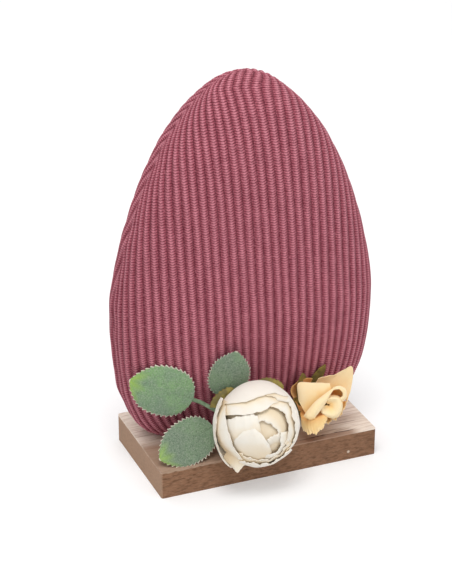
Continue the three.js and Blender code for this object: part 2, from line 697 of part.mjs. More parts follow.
// A toothed, cupped leaf from its base to its tip, pushed forward until it clears the knit behind it.
function leaf({ base, direction, face, reach, width, bow, cup }) {
  const foot = new THREE.Vector3(...base).multiplyScalar(whiteRadius).add(whiteCentre);
  const axis = new THREE.Vector3(...direction).normalize();
  const side = new THREE.Vector3(...face).cross(axis).normalize();
  const up = axis.clone().cross(side).normalize();
  const { lead, belly, blunt } = leafShape;
  const halfWidth = (v) => (width / 2) * (1 - Math.abs(2 * v ** lead - 1) ** belly) ** (1 / blunt);
  const tooth = (v) => toothDepth * ((v * leafTeeth) % 1);
  const surface = (push) => (u, v) => {
    const across = 2 * u - 1;
    const half = Math.max(leafTipWidth / 2, halfWidth(v) + (v < 1 ? tooth(v) : 0) - toothDepth);
    const lift = bow * 4 * v * (1 - v) - cup * across ** 2 * (half / (width / 2)) ** 2;
    return foot.clone().addScaledVector(axis, reach * v).addScaledVector(side, across * half)
      .addScaledVector(up, lift).add(new THREE.Vector3(0, -push, 0));
  };
  let push = 0;
  const rows = leafTeeth * 2;
  for (let i = 0; i <= facets.leafColumns; i++) {
    for (let j = 0; j <= rows; j++) {
      const p = surface(0)(i / facets.leafColumns, j / rows);
      push = Math.max(push, p.y + leafThickness / 2 + leafClearance - eggFrontY(p.x, p.z));
    }
  }
  const geometry = thickSheet(facets.leafColumns, rows, leafThickness, surface(push));
  return { geometry, base: surface(push)(0.5, 0), axis };
}

const leaves = Object.fromEntries(Object.entries(leafForms).map(([name, form]) => [name, leaf(form)]));
for (const [name, { geometry }] of Object.entries(leaves)) add(name, geometry, materials.leaf);

// The stalk runs from the white rose's glue pad to the left leaf, and two petioles branch off it.
const leafEnd = ({ base, axis }) => base.clone().addScaledVector(axis, -fitGap);
const leafRun = ({ base, axis }, distance) => base.clone().addScaledVector(axis, -distance);
const besideStem = roseStemRadius + petioleRadius + 2 * fitGap;
const stalkFoot = whitePad.top.clone().setX(whitePad.top.x - besideStem);
const fork = leafRun(leaves.leaf_lower, forkDistance)
  .lerp(leafRun(leaves.leaf_upper, forkDistance), forkShare);
const petiole = (from, end) => {
  const points = [...from, leafRun(end, petioleStraight), leafEnd(end)];
  return toSolid(bar(points, petioleRadius, facets.petiole, facets.petioleSteps));
};
const stalk = [
  petiole([stalkFoot, stalkFoot.clone().setZ(stalkFoot.z + roseStemRadius), fork], leaves.leaf_left),
  petiole([fork], leaves.leaf_upper),
  petiole([fork], leaves.leaf_lower),
];
add('leaf_stalk', fromSolid(stalk.reduce((sprig, branch) => sprig.add(branch))), materials.stem);

export default egg;
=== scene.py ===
"""Decorative egg on a wooden stand: the looks of the egg, its two roses, its leaves and its board.

Lengths are millimetres in every field and formula, and metres in the meshes. +Z is up, +X runs to the
viewer's right along the board's long front edge, and the front looks along -Y. Sizes come from the
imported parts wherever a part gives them.
"""

import logging
import math
from dataclasses import dataclass, field
from enum import Enum

import bpy
import numpy as np
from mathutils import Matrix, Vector


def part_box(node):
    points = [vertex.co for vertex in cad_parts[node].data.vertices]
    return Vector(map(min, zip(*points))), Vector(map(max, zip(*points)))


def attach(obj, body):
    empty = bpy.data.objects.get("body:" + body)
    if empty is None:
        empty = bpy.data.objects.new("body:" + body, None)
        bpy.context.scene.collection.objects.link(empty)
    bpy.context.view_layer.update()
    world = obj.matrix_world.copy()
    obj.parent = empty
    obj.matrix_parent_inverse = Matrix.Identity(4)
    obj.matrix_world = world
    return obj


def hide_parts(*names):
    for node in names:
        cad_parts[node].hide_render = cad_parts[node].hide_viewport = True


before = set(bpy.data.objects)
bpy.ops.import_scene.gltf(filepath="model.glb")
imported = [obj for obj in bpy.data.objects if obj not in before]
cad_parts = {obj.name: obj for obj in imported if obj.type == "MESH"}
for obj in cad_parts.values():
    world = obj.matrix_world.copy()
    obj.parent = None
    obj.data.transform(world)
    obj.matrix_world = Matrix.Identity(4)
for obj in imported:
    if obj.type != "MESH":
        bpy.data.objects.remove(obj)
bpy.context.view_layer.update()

LOG = logging.getLogger("egg")
MM = 0.001
BODY = "root"
Grid = np.ndarray
Socket = bpy.types.NodeSocket
Spot = tuple[float, float, float]


class Slot(Enum):
    """The material slots of the part's record."""

    FIBREBOARD = "fibreboard"
    VENEER = "veneer"
    BEECH = "beech"
    FOAM = "foam"
    KNIT = "knit"
    WHITE_PETAL = "white_petal"
    YELLOW_PETAL = "yellow_petal"
    SEPAL = "sepal"
    LEAF = "leaf"
    STEM = "stem"
    GLUE = "glue"


# How a finish is put together

def linear(colour: str) -> tuple[float, ...]:
    """Turn an sRGB hex colour into linear light with full opacity.

    Args:
        colour: seven characters, such as "#b0607a".

    Returns:
        Red, green, blue and alpha.
    """
    channels = [int(colour[i:i + 2], 16) / 255 for i in (1, 3, 5)]
    light = [c / 12.92 if c <= 0.04045 else ((c + 0.055) / 1.055) ** 2.4 for c in channels]
    return (*light, 1.0)


def add_node(tree: bpy.types.NodeTree, kind: str, inputs: dict | None = None, **settings) -> bpy.types.Node:
    """Add one shader node with its settings, its fixed values and its links.

    Args:
        tree: the material's node tree.
        kind: the node's type without "ShaderNode".
        inputs: socket name or number to a value, or to the output socket that feeds it.
        settings: the node's own properties.

    Returns:
        The new node.
    """
    node = tree.nodes.new("ShaderNode" + kind)
    for name, value in settings.items():
        setattr(node, name, value)
    for key, value in (inputs or {}).items():
        if isinstance(value, Socket):
            tree.links.new(value, node.inputs[key])
        else:
            node.inputs[key].default_value = value
    return node


@dataclass(frozen=True)
class Step:
    """A share that changes smoothly from 0 to full, as a pattern's value runs from low to high.

    Low may be the greater of the two. full is a number, a socket or another step, which multiplies
    this one.
    """

    pattern: Socket
    low: float
    high: float
    full: "float | Socket | Step" = 1.0


def stripe(pattern: Socket, middle: float, half: float, soft: float, full: float | Step = 1.0) -> Step:
    """Give a share that is full within a stripe of a pattern's values and 0 outside it.

    Args:
        pattern: the socket to read.
        middle: the stripe's middle value.
        half: half its width.
        soft: how far each of its edges fades.
        full: the share inside.

    Returns:
        A step up at one edge, times a step down at the other.
    """
    low, high, fade = middle - half, middle + half, soft / 2
    return Step(pattern, low - fade, low + fade, Step(pattern, high + fade, high - fade, full))


class Canvas:
    """A material in the making."""

    def __init__(self, name: str) -> None:
        """Make an empty material.

        Args:
            name: the real finish that it stands for.
        """
        self.material = bpy.data.materials.new(name)
        self.material.use_nodes = True
        self.tree = self.material.node_tree
        self.tree.nodes.clear()
        self.shader = add_node(self.tree, "BsdfPrincipled")
        add_node(self.tree, "OutputMaterial", {"Surface": self.shader.outputs[0]})
        self.place = add_node(self.tree, "TexCoord").outputs["Object"]

    def millimetres(self) -> Socket:
        """Give each point's place in millimetres."""
        inputs = {0: self.place, "Scale": 1 / MM}
        return add_node(self.tree, "VectorMath", inputs, operation="SCALE").outputs[0]

    def grain(self, size: float, detail: float = 2.0, squeeze: Spot = (1.0, 1.0, 1.0),
              place: Socket | None = None) -> Socket:
        """Make cloudy unevenness.

        Args:
            size: the width of one cloud.
            detail: how many finer layers lie on it.
            squeeze: scales each axis first, so that a small number draws the clouds out along it.
            place: coordinates in metres, or none for the piece's own.

        Returns:
            Its value, mostly from 0.2 to 0.8.
        """
        placed = add_node(self.tree, "Mapping", {"Vector": place or self.place, "Scale": squeeze})
        inputs = {"Vector": placed.outputs[0], "Scale": 1 / (size * MM), "Detail": detail}
        return add_node(self.tree, "TexNoise", inputs).outputs[0]

    def wander(self, value: Socket, pattern: Socket, reach: float) -> Socket:
        """Shift a value to and fro: add the reach times what a pattern has above one half.

        Args:
            value: what is shifted.
            pattern: numbers from 0 to 1.
            reach: the whole width of the shift.

        Returns:
            The shifted value.
        """
        above = add_node(self.tree, "Math", {0: pattern, 1: 0.5}, operation="SUBTRACT")
        inputs = {0: above.outputs[0], 1: reach, 2: value}
        return add_node(self.tree, "Math", inputs, operation="MULTIPLY_ADD").outputs[0]

    def share(self, step: Step | Socket) -> Socket:
        """Work out a share.

        Args:
            step: the step, or a socket that is a share already.

        Returns:
            The share, with the steps that multiply it.
        """
        if not isinstance(step, Step):
            return step
        full = self.share(step.full) if isinstance(step.full, Step) else step.full
        inputs = {"Value": step.pattern, "From Min": step.low, "From Max": step.high, "To Max": full}
        return add_node(self.tree, "MapRange", inputs, interpolation_type="SMOOTHSTEP").outputs[0]

    def paint(self, base: str, *layers: tuple[Step | Socket, str]) -> Socket:
        """Lay colours over a base colour.

        Args:
            base: the lowest colour.
            layers: the share and the colour of each layer, from the lowest up.

        Returns:
            The colour that shows.
        """
        colour = linear(base)
        for step, cover in layers:
            inputs = {0: self.share(step), 6: colour, 7: linear(cover)}
            colour = add_node(self.tree, "Mix", inputs, data_type="RGBA").outputs[2]
        return colour

    def finish(self, colour: Socket, relief: list[tuple[Socket, float, float]],
               values: dict[str, object]) -> bpy.types.Material:
        """Join the colour and the fine relief to the shader, and set the shader's own values.

        Args:
            colour: the surface's colour.
            relief: the height pattern, strength and depth of each layer of relief.
            values: the shader's values by their names.

        Returns:
            The finished material.
        """
        below = {}
        for height, strength, depth in relief:
            inputs = {"Height": height, "Strength": strength, "Distance": depth * MM}
            below = {"Normal": add_node(self.tree, "Bump", inputs | below).outputs[0]}
        for name, socket in ({"Base Color": colour} | below).items():
            self.tree.links.new(socket, self.shader.inputs[name])
        for name, value in values.items():
            self.shader.inputs[name].default_value = value
        return self.material


# Finishes

@dataclass(frozen=True)
class KnitYarn:
    """Rib-knitted soft yarn: matt, with a pale bloom of fibres on the ribs, a painted highlight along each
    rib's crest, and painted shade in the furrows and in the gaps between stitches.

    The cloth's pattern map counts the ribs and the courses of stitches. How far a point lies from the
    middle of its rib, or from the nearest gap between stitches, is a share from 0 to 0.5. A real fibre
    is far finer than fibre_width, which is as fine as the render shows.
    """

    # The crest colour is a painted highlight on the ribs' crests, and also the colour of pale fibres and
    # flecks. The furrow colour is painted shade in the furrows and the gaps, and also the colour of dark
    # flecks and clouds.
    crest: str = "#d48794"
    body: str = "#a14d5b"
    furrow: str = "#5a1626"
    bloom: str = "#f3c9d2"
    stitch_rise: float = 0.5
    course_wander: float = 0.2
    wander_width: float = 3.0
    fibre_width: float = 0.22
    fleck_width: float = 0.75
    cloud_width: float = 9.0

    def material(self) -> bpy.types.Material:
        """Paint a highlight on the ribs' crests and shade in the furrows and the gaps, then fleck all of
        it.

        Returns:
            The finished material.
        """
        canvas = Canvas("ribbed_knit_yarn")
        tree = canvas.tree
        pattern = add_node(tree, "UVMap", uv_map="cloth").outputs[0]
        rib, course, _ = add_node(tree, "SeparateXYZ", {0: pattern}).outputs
        from_crest = add_node(tree, "Math", {0: rib, 1: 0.5}, operation="PINGPONG").outputs[0]
        rise = {0: from_crest, 1: -2 * self.stitch_rise, 2: course}
        level = add_node(tree, "Math", rise, operation="MULTIPLY_ADD").outputs[0]
        level = canvas.wander(level, canvas.grain(self.wander_width), self.course_wander)
        from_gap = add_node(tree, "Math", {0: level, 1: 0.5}, operation="PINGPONG").outputs[0]
        fibres = canvas.grain(self.fibre_width, 3.0)
        flecks = canvas.grain(self.fleck_width, 3.0)
        clouds = canvas.grain(self.cloud_width)
        # Painted highlight on the crests, painted shade in the gaps and the furrows, then the yarn's
        # fibres, flecks and clouds.
        colour = canvas.paint(
            self.crest,
            (Step(from_crest, 0.025, 0.375), self.body),
            (Step(from_gap, 0.375, 0.05, Step(from_crest, -0.65, 0.35, 0.95)), self.furrow),
            (Step(from_crest, 0.36, 0.53), self.furrow),
            (Step(fibres, 0.35, 0.75, 0.3), self.crest),
            (Step(flecks, 0.52, 0.7, 0.45), self.furrow),
            (Step(flecks, 0.48, 0.34, 0.35), self.crest),
            (Step(clouds, 0.35, 0.75, 0.14), self.furrow))
        return canvas.finish(colour, [(fibres, 0.5, 0.12)], {
            "Roughness": 0.95, "Specular IOR Level": 0.15, "Sheen Weight": 0.35, "Sheen Roughness": 0.45,
            "Sheen Tint": linear(self.bloom)})


@dataclass(frozen=True)
class PetalCloth:
    """Pressed, dyed polyester petal cloth: matt and a little translucent, with painted shade in its folds
    and under the petals that overlap it.

    Its cut edge is browned in places, as each petal says.
    """

    name: str
    # rim is the cloth's own colour. body and root are ever deeper painted shade.
    rim: str
    body: str
    root: str
    edge: str
    crease_width: float = 1.43
    blotch_width: float = 5.0
    stain_width: float = 4.0
    weave_width: float = 0.3

    def material(self) -> bpy.types.Material:
        """Blend from rim to root by the painted shade, stain the edge, and press in faint lengthwise
        creases and the weave.

        Returns:
            The finished material.
        """
        canvas = Canvas(self.name)
        tree = canvas.tree
        hollow, edge = (add_node(tree, "Attribute", attribute_name=name).outputs["Fac"]
                        for name in ("hollow", "edge"))
        pattern = add_node(tree, "UVMap", uv_map="cloth").outputs[0]
        creases = canvas.grain(self.crease_width, 3.0, (1.0, 0.12, 1.0), pattern)
        # The painted shade share, made uneven, lays the body colour and then the root colour over the rim
        # colour.
        depth = canvas.wander(hollow, canvas.grain(self.blotch_width), 0.4)
        colour = canvas.paint(
            self.rim,
            (Step(depth, -0.05, 0.35), self.body),
            (Step(depth, 0.25, 0.95), self.root),
            (Step(canvas.grain(self.stain_width), 0.3, 0.6, edge), self.edge))
        weave = canvas.grain(self.weave_width)
        return canvas.finish(colour, [(creases, 0.35, 0.25), (weave, 0.2, 0.05)], {
            "Roughness": 0.75, "Specular IOR Level": 0.3, "Sheen Weight": 0.1, "Subsurface Weight": 0.25,
            "Subsurface Radius": (1.0, 1.0, 1.0), "Subsurface Scale": 1.0 * MM})


@dataclass(frozen=True)
class FlockedLeaf:
    """A leaf of moulded plastic flocked with short grey-green fibres: matt, furry, worn pale at its teeth.

    The flock is drawn coarser than the real fibres, so that it shows.
    """

    name: str
    green: str = "#7fa46e"
    grey: str = "#789076"
    dark: str = "#566e52"
    fibre: str = "#a0ab98"
    tip: str = "#9dc04c"
    rim: str = "#e0d4c4"
    tuft_width: float = 0.6
    gap_width: float = 0.9
    patch_width: float = 12.0

    def material(self) -> bpy.types.Material:
        """Speckle grey over green, brighten the tip and the rim, and roughen all of it.

        Returns:
            The finished material.
        """
        canvas = Canvas(self.name)
        tip, edge = (add_node(canvas.tree, "Attribute", attribute_name=name).outputs["Fac"]
                     for name in ("tip", "edge"))
        tufts = canvas.grain(self.tuft_width, 4.0)
        colour = canvas.paint(
            self.green,
            (Step(canvas.grain(self.patch_width), 0.3, 0.7), self.grey),
            (Step(canvas.grain(self.gap_width, 3.0), 0.5, 0.62, 0.45), self.dark),
            (Step(tufts, 0.5, 0.62, 0.6), self.fibre),
            (tip, self.tip),
            (edge, self.rim))
        return canvas.finish(colour, [(tufts, 0.8, 0.3)], {
            "Roughness": 0.95, "Specular IOR Level": 0.2, "Sheen Weight": 0.3})


@dataclass(frozen=True)
class MouldedPlastic:
    """Moulded or foamed plastic, as of sepals, stems, core and glue: unevenly dyed, with a fine grain."""

    name: str
    light: str
    dark: str
    roughness: float = 0.6
    cloud_width: float = 4.0
    grain_width: float = 0.5

    def material(self) -> bpy.types.Material:
        """Mix the two dyes by broad clouds.

        Returns:
            The finished material.
        """
        canvas = Canvas(self.name)
        clouds = canvas.grain(self.cloud_width, 3.0)
        colour = canvas.paint(self.dark, (Step(clouds, 0.35, 0.65), self.light))
        relief = [(canvas.grain(self.grain_width), 0.4, 0.1)]
        return canvas.finish(colour, relief, {"Roughness": self.roughness})


@dataclass(frozen=True)
class StainedVeneer:
    """Untreated pale veneer: straight-grained and dull, with brown painted shade in front of the egg, split
    at its front.

    Places are from the board's middle. The painted shade ends at its back and right limits, with a soft,
    cloudy edge. The split runs along the board at split_y, for split_half to each side of split_x.
    """

    pale: str = "#f0e3d4"
    grain: str = "#cab39c"
    # The stain colour is the brown of the pores, streaks and old marks, and also of the painted shade in
    # front of the egg.
    stain: str = "#9a7860"
    lip: str = "#96715a"
    crack: str = "#4d3425"
    grain_width: float = 1.1
    pore_width: float = 0.45
    cloud_width: float = 14.0
    along: Spot = (0.07, 1.0, 1.0)
    wavy: Spot = (0.3, 1.0, 1.0)
    stain_back: float = 3.0
    stain_right: float = 30.0
    split_x: float = 34.0
    split_y: float = -31.0
    split_half: float = 17.0

    def material(self) -> bpy.types.Material:
        """Lay the grain along the board, then the painted shade, the split and its fine side cracks.

        Returns:
            The finished material.
        """
        canvas = Canvas("stained_pale_veneer")
        x, y, _ = add_node(canvas.tree, "SeparateXYZ", {0: canvas.millimetres()}).outputs
        grain = canvas.grain(self.grain_width, 5.0, self.along)
        pores = canvas.grain(self.pore_width, 3.0, self.along)
        clouds = canvas.grain(self.cloud_width, 3.0, self.wavy)
        wavy_y = canvas.wander(y, canvas.grain(6.0, 4.0, self.wavy), 5.0)
        # Painted shade in front of the egg, fading out towards the back and the right.
        left = Step(canvas.wander(x, clouds, 60.0), self.stain_right + 18, self.stain_right - 8, 0.86)
        stain = Step(canvas.wander(y, clouds, 15.0), self.stain_back, self.stain_back - 12, left)
        beside = stripe(x, self.split_x, self.split_half, 9.0, 0.8)
        lip = Step(wavy_y, self.split_y + 0.6, self.split_y - 0.8, beside)
        streaks = Step(canvas.grain(1.7, 2.0, self.along), 0.6, 0.66,
                       stripe(x, 44.0, 20.0, 14.0, stripe(y, -24.0, 9.0, 8.0, 0.5)))
        old = Step(canvas.grain(3.4, 2.0, self.wavy), 0.66, 0.7, stripe(x, -56.0, 8.0, 4.0, 0.4))
        gaps = canvas.grain(2.2, 2.0, self.wavy)

        def split(full: float) -> Step:
            """Give the share of the split, which is broken up along its way."""
            line = stripe(wavy_y, self.split_y, 0.3, 0.5, full)
            return Step(gaps, 0.36, 0.5, stripe(x, self.split_x, self.split_half, 9.0, line))

        colour = canvas.paint(
            self.pale,
            (Step(grain, 0.42, 0.75, 0.75), self.grain),
            (Step(clouds, 0.45, 0.75, 0.35), self.grain),
            (stain, self.stain),
            (Step(pores, 0.52, 0.72, 0.4), self.stain),
            (lip, self.lip),
            (streaks, self.stain),
            (old, self.stain),
            (split(0.9), self.crack))
        heights = {0: pores, 1: 0.3, 2: canvas.share(split(-1.0))}
        relief = add_node(canvas.tree, "Math", heights, operation="MULTIPLY_ADD").outputs[0]
        return canvas.finish(colour, [(relief, 0.6, 0.3)], {"Roughness": 0.7, "Specular IOR Level": 0.3})


@dataclass(frozen=True)
class StreakedFibreboard:
    """Brown fibreboard: dull, with short pressed fibres along it, with painted light on its left end and a
    painted highlight along the left part of its top edge.

    Places are from the middle of the board's underside. One small chip shows the bare core.
    """

    body: str = "#916b51"
    dark: str = "#6c4c37"
    light: str = "#a08068"
    # The next two colours are painted light: one on the left end, and one as a highlight along the left
    # part of the top edge.
    end: str = "#b89a82"
    worn: str = "#c2ab95"
    bare: str = "#d8c6b4"
    fibre_width: float = 0.5
    mottle_width: float = 1.1
    cloud_width: float = 22.0
    pressed: Spot = (0.32, 0.5, 1.0)
    left_end: float = -62.5
    top: float = 15.4
    worn_right: float = -22.0
    chip: Spot = (46.1, -34.5, 4.8)
    chip_radius: float = 1.1

    def material(self) -> bpy.types.Material:
        """Mix streaks and mottling, paint light on the left end and a highlight along the top edge's left
        part, and show the chip.

        Returns:
            The finished material.
        """
        canvas = Canvas("brown_fibreboard")
        place = canvas.millimetres()
        x, _, z = add_node(canvas.tree, "SeparateXYZ", {0: place}).outputs
        away = add_node(canvas.tree, "VectorMath", {0: place, 1: self.chip}, operation="DISTANCE")
        fibres = canvas.grain(self.fibre_width, 4.0, self.pressed)
        mottle = canvas.grain(self.mottle_width, 3.0, self.pressed)
        # The painted highlight on the top edge fades out towards the right.
        left = Step(x, self.worn_right, self.worn_right - 14, 0.7)
        colour = canvas.paint(
            self.dark,
            (Step(mottle, 0.25, 0.6), self.body),
            (Step(fibres, 0.52, 0.72, 0.5), self.light),
            (Step(fibres, 0.46, 0.3, 0.4), self.dark),
            (Step(canvas.grain(self.cloud_width), 0.4, 0.7, 0.3), self.dark),
            # Painted light on the left end, then a painted highlight along the left part of the top edge.
            (Step(x, self.left_end + 1.0, self.left_end + 0.1, 0.55), self.end),
            (Step(canvas.wander(z, mottle, 2.2), self.top - 0.9, self.top + 0.1, left), self.worn),
            (Step(away.outputs["Value"], self.chip_radius, 0.4), self.bare))
        return canvas.finish(colour, [(fibres, 0.5, 0.3)], {"Roughness": 0.8, "Specular IOR Level": 0.25})


@dataclass(frozen=True)
class TurnedBeech:
    """Smooth turned beech with its grain along +X and short dark flecks."""

    pale: str = "#d2b48c"
    dark: str = "#b89468"
    fleck: str = "#a07f58"
    grain_width: float = 0.8
    fleck_width: float = 0.27
    cloud_width: float = 30.0
    along: Spot = (0.125, 1.0, 1.0)

    def material(self) -> bpy.types.Material:
        """Draw the grain and the flecks as clouds drawn out along the dowel.

        Returns:
            The finished material.
        """
        canvas = Canvas("turned_beech")
        flecks = canvas.grain(self.fleck_width, 3.0, self.along)
        colour = canvas.paint(
            self.pale,
            (Step(canvas.grain(self.grain_width, 5.0, self.along), 0.3, 0.7, 0.6), self.dark),
            (Step(flecks, 0.55, 0.75, 0.45), self.fleck),
            (Step(canvas.grain(self.cloud_width, 3.0), 0.3, 0.7, 0.25), self.dark))
        return canvas.finish(colour, [(flecks, 0.3, 0.15)], {"Roughness": 0.75, "Specular IOR Level": 0.25})


def dress(name: str, material: bpy.types.Material) -> None:
    """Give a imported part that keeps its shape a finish.

    Args:
        name: the part's node.
        material: its finish.
    """
    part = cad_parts[name]
    part.data.materials.clear()
    part.data.materials.append(material)
    LOG.info("%s: %s", name, material.name)


# Meshes

def grid_quads(columns: int, rows: int) -> np.ndarray:
    """Number the quads of a grid of points that is stored column by column.

    Args:
        columns: how many columns of points.
        rows: how many points in a column.

    Returns:
        One row of four point numbers for each quad.
    """
    corner = (np.arange(columns - 1)[:, None] * rows + np.arange(rows - 1)[None, :]).ravel()
    return np.stack([corner, corner + rows, corner + rows + 1, corner + 1], axis=1)


def rim_numbers(columns: int, rows: int) -> np.ndarray:
    """Walk round a grid's rim: the first row, the last column, then the last row and first column back."""
    grid = np.arange(columns * rows).reshape(columns, rows)
    return np.concatenate([grid[:-1, 0], grid[-1, :-1], grid[:0:-1, -1], grid[0, :0:-1]])


def signed_volume(points: np.ndarray, triangles: np.ndarray) -> float:
    """Add up the signed volume of the tetrahedra from the origin to each triangle."""
    a, b, c = (points[triangles[:, k]] for k in range(3))
    return float(np.einsum("ij,ij->i", a, np.cross(b, c)).sum() / 6)


@dataclass
class Surface:
    """A closed mesh in the making: points in millimetres, quads, triangles and numbers for each point."""

    points: np.ndarray
    quads: np.ndarray = field(default_factory=lambda: np.zeros((0, 4), int))
    triangles: np.ndarray = field(default_factory=lambda: np.zeros((0, 3), int))
    numbers: dict[str, np.ndarray] = field(default_factory=dict)
    uv: np.ndarray | None = None

    def joined(self, other: "Surface") -> "Surface":
        """Put another surface beside this one, in the same mesh.

        Args:
            other: a surface with the same numbers for each point.

        Returns:
            The two together.
        """
        shift = len(self.points)
        numbers = {name: np.concatenate([values, other.numbers[name]])
                   for name, values in self.numbers.items()}
        uv = None if self.uv is None else np.concatenate([self.uv, other.uv])
        return Surface(np.concatenate([self.points, other.points]),
                       np.concatenate([self.quads, other.quads + shift]),
                       np.concatenate([self.triangles, other.triangles + shift]), numbers, uv)

    def outward(self) -> "Surface":
        """Turn the faces so that they point out of the closed body.

        Returns:
            The same surface.
        """
        halves = [self.triangles, self.quads[:, [0, 1, 2]], self.quads[:, [0, 2, 3]]]
        if signed_volume(self.points, np.concatenate(halves)) < 0:
            self.quads = self.quads[:, ::-1]
            self.triangles = self.triangles[:, ::-1]
        return self

    def stand_in(self, node: str, kind: str, material: bpy.types.Material, slot: Slot,
                 sharp: float = 50.0) -> bpy.types.Object:
        """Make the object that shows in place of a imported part, with its origin at the frame's origin.

        Args:
            node: the part that it replaces.
            kind: the word that its name adds to the part's.
            material: its finish.
            slot: the record's slot that the finish stands for.
            sharp: edges bent by more than this many degrees stay sharp.

        Returns:
            The new object, which rides on the part's one body.
        """
        name = f"{node}_{kind}"
        mesh = bpy.data.meshes.new(name)
        corners = np.concatenate([self.quads.ravel(), self.triangles.ravel()]).astype(np.int32)
        sides = np.concatenate([np.full(len(self.quads), 4), np.full(len(self.triangles), 3)])
        starts = np.concatenate([[0], np.cumsum(sides)[:-1]]).astype(np.int32)
        mesh.vertices.add(len(self.points))
        mesh.vertices.foreach_set("co", (self.points * MM).astype(np.float32).ravel())
        mesh.loops.add(len(corners))
        mesh.loops.foreach_set("vertex_index", corners)
        mesh.polygons.add(len(sides))
        mesh.polygons.foreach_set("loop_start", starts)
        for label, values in self.numbers.items():
            stored = mesh.attributes.new(label, "FLOAT", "POINT")
            stored.data.foreach_set("value", values.astype(np.float32))
        if self.uv is not None:
            pattern = mesh.uv_layers.new(name="cloth")
            pattern.data.foreach_set("uv", self.uv[corners].astype(np.float32).ravel())
        mesh.update(calc_edges=True)
        mesh.validate()
        mesh.shade_smooth()
        mesh.set_sharp_from_angle(angle=math.radians(sharp))
        mesh.materials.append(material)
        made = bpy.data.objects.new(name, mesh)
        bpy.context.scene.collection.objects.link(made)
        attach(made, BODY)
        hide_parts(node)
        LOG.info("%s: %d points, %d faces", name, len(self.points), len(sides))
        return made


def running_length(points: Grid) -> Grid:
    """Add up the distances between the points along each row, from 0."""
    steps = np.linalg.norm(np.diff(points, axis=1), axis=2)
    return np.concatenate([np.zeros((len(points), 1)), np.cumsum(steps, axis=1)], axis=1)


def grid_normals(points: Grid) -> Grid:
    """Work out unit normals of a grid of points, as the cross product of its two running directions."""
    cross = np.cross(np.gradient(points, axis=0), np.gradient(points, axis=1))
    return cross / np.maximum(np.linalg.norm(cross, axis=2, keepdims=True), 1e-12)


def thick_sheet(points: Grid, thickness: float | Grid, numbers: dict[str, Grid] | None = None,
                uv: Grid | None = None) -> Surface:
    """Give a grid surface its thickness, half to each side, and close its rim.

    Args:
        points: the middle surface, columns by rows by 3.
        thickness: one thickness, or one for each point.
        numbers: values for each point, kept on both sides.
        uv: pattern coordinates for each point, kept on both sides.

    Returns:
        The closed sheet, facing out.
    """
    columns, rows = points.shape[:2]
    half = grid_normals(points) * (np.broadcast_to(thickness, (columns, rows))[:, :, None] / 2)
    count = columns * rows
    quads = grid_quads(columns, rows)
    rim = rim_numbers(columns, rows)
    after = np.roll(rim, -1)
    band = np.stack([after, rim, rim + count, after + count], axis=1)
    both = np.concatenate([(points + half).reshape(-1, 3), (points - half).reshape(-1, 3)])
    kept = {name: np.tile(values.ravel(), 2) for name, values in (numbers or {}).items()}
    pattern = None if uv is None else np.tile(uv.reshape(-1, 2), (2, 1))
    sheet = Surface(both, np.concatenate([quads, quads[:, ::-1] + count, band]), numbers=kept, uv=pattern)
    return sheet.outward()


# The egg

def crowded(count: int, even_share: float) -> np.ndarray:
    """Run from 0 to 1 in steps that get smaller towards both ends.

    Args:
        count: how many numbers.
        even_share: how much of an even run is mixed into the cosine's.

    Returns:
        The numbers.
    """
    even = np.linspace(0, 1, count)
    return even_share * even + (1 - even_share) * (1 - np.cos(math.pi * even)) / 2


def by_rows(wanted: Grid, given: Grid, values: Grid) -> Grid:
    """Interpolate each row of values at the wanted places of the same row.

    Args:
        wanted: where to read.
        given: where the values are known, rising along each row.
        values: what is known there.

    Returns:
        The values at the wanted places.
    """
    shift = np.arange(len(given))[:, None] * (given.max() + 1.0)
    flat = np.interp((wanted + shift).ravel(), (given + shift).ravel(), values.ravel())
    return flat.reshape(wanted.shape)


@dataclass
class SmoothFace:
    """One face of the egg before its relief: x and y at each height and share of the way to the seam.

    girth is the cloth's length from the middle of the face to the seam at each height.
    """

    z: np.ndarray
    girth: np.ndarray
    table: Grid

    def girth_at(self, height: Grid) -> Grid:
        """Read the girth at heights."""
        return np.interp(height, self.z, self.girth)

    def at(self, height: Grid, along: Grid) -> Grid:
        """Read the face between the table's points.

        Args:
            height: the height of each wanted point.
            along: its share of the way to the seam.

        Returns:
            The points.
        """
        levels, shares = self.table.shape[:2]
        row, column = np.interp(height, self.z, np.arange(levels)), along * (shares - 1)
        i = np.minimum(row.astype(int), levels - 2)
        j = np.minimum(column.astype(int), shares - 2)
        f, g = (row - i)[..., None], (column - j)[..., None]
        near = self.table[i, j] * (1 - g) + self.table[i, j + 1] * g
        far = self.table[i + 1, j] * (1 - g) + self.table[i + 1, j + 1] * g
        return np.concatenate([near * (1 - f) + far * f, height[..., None]], axis=-1)


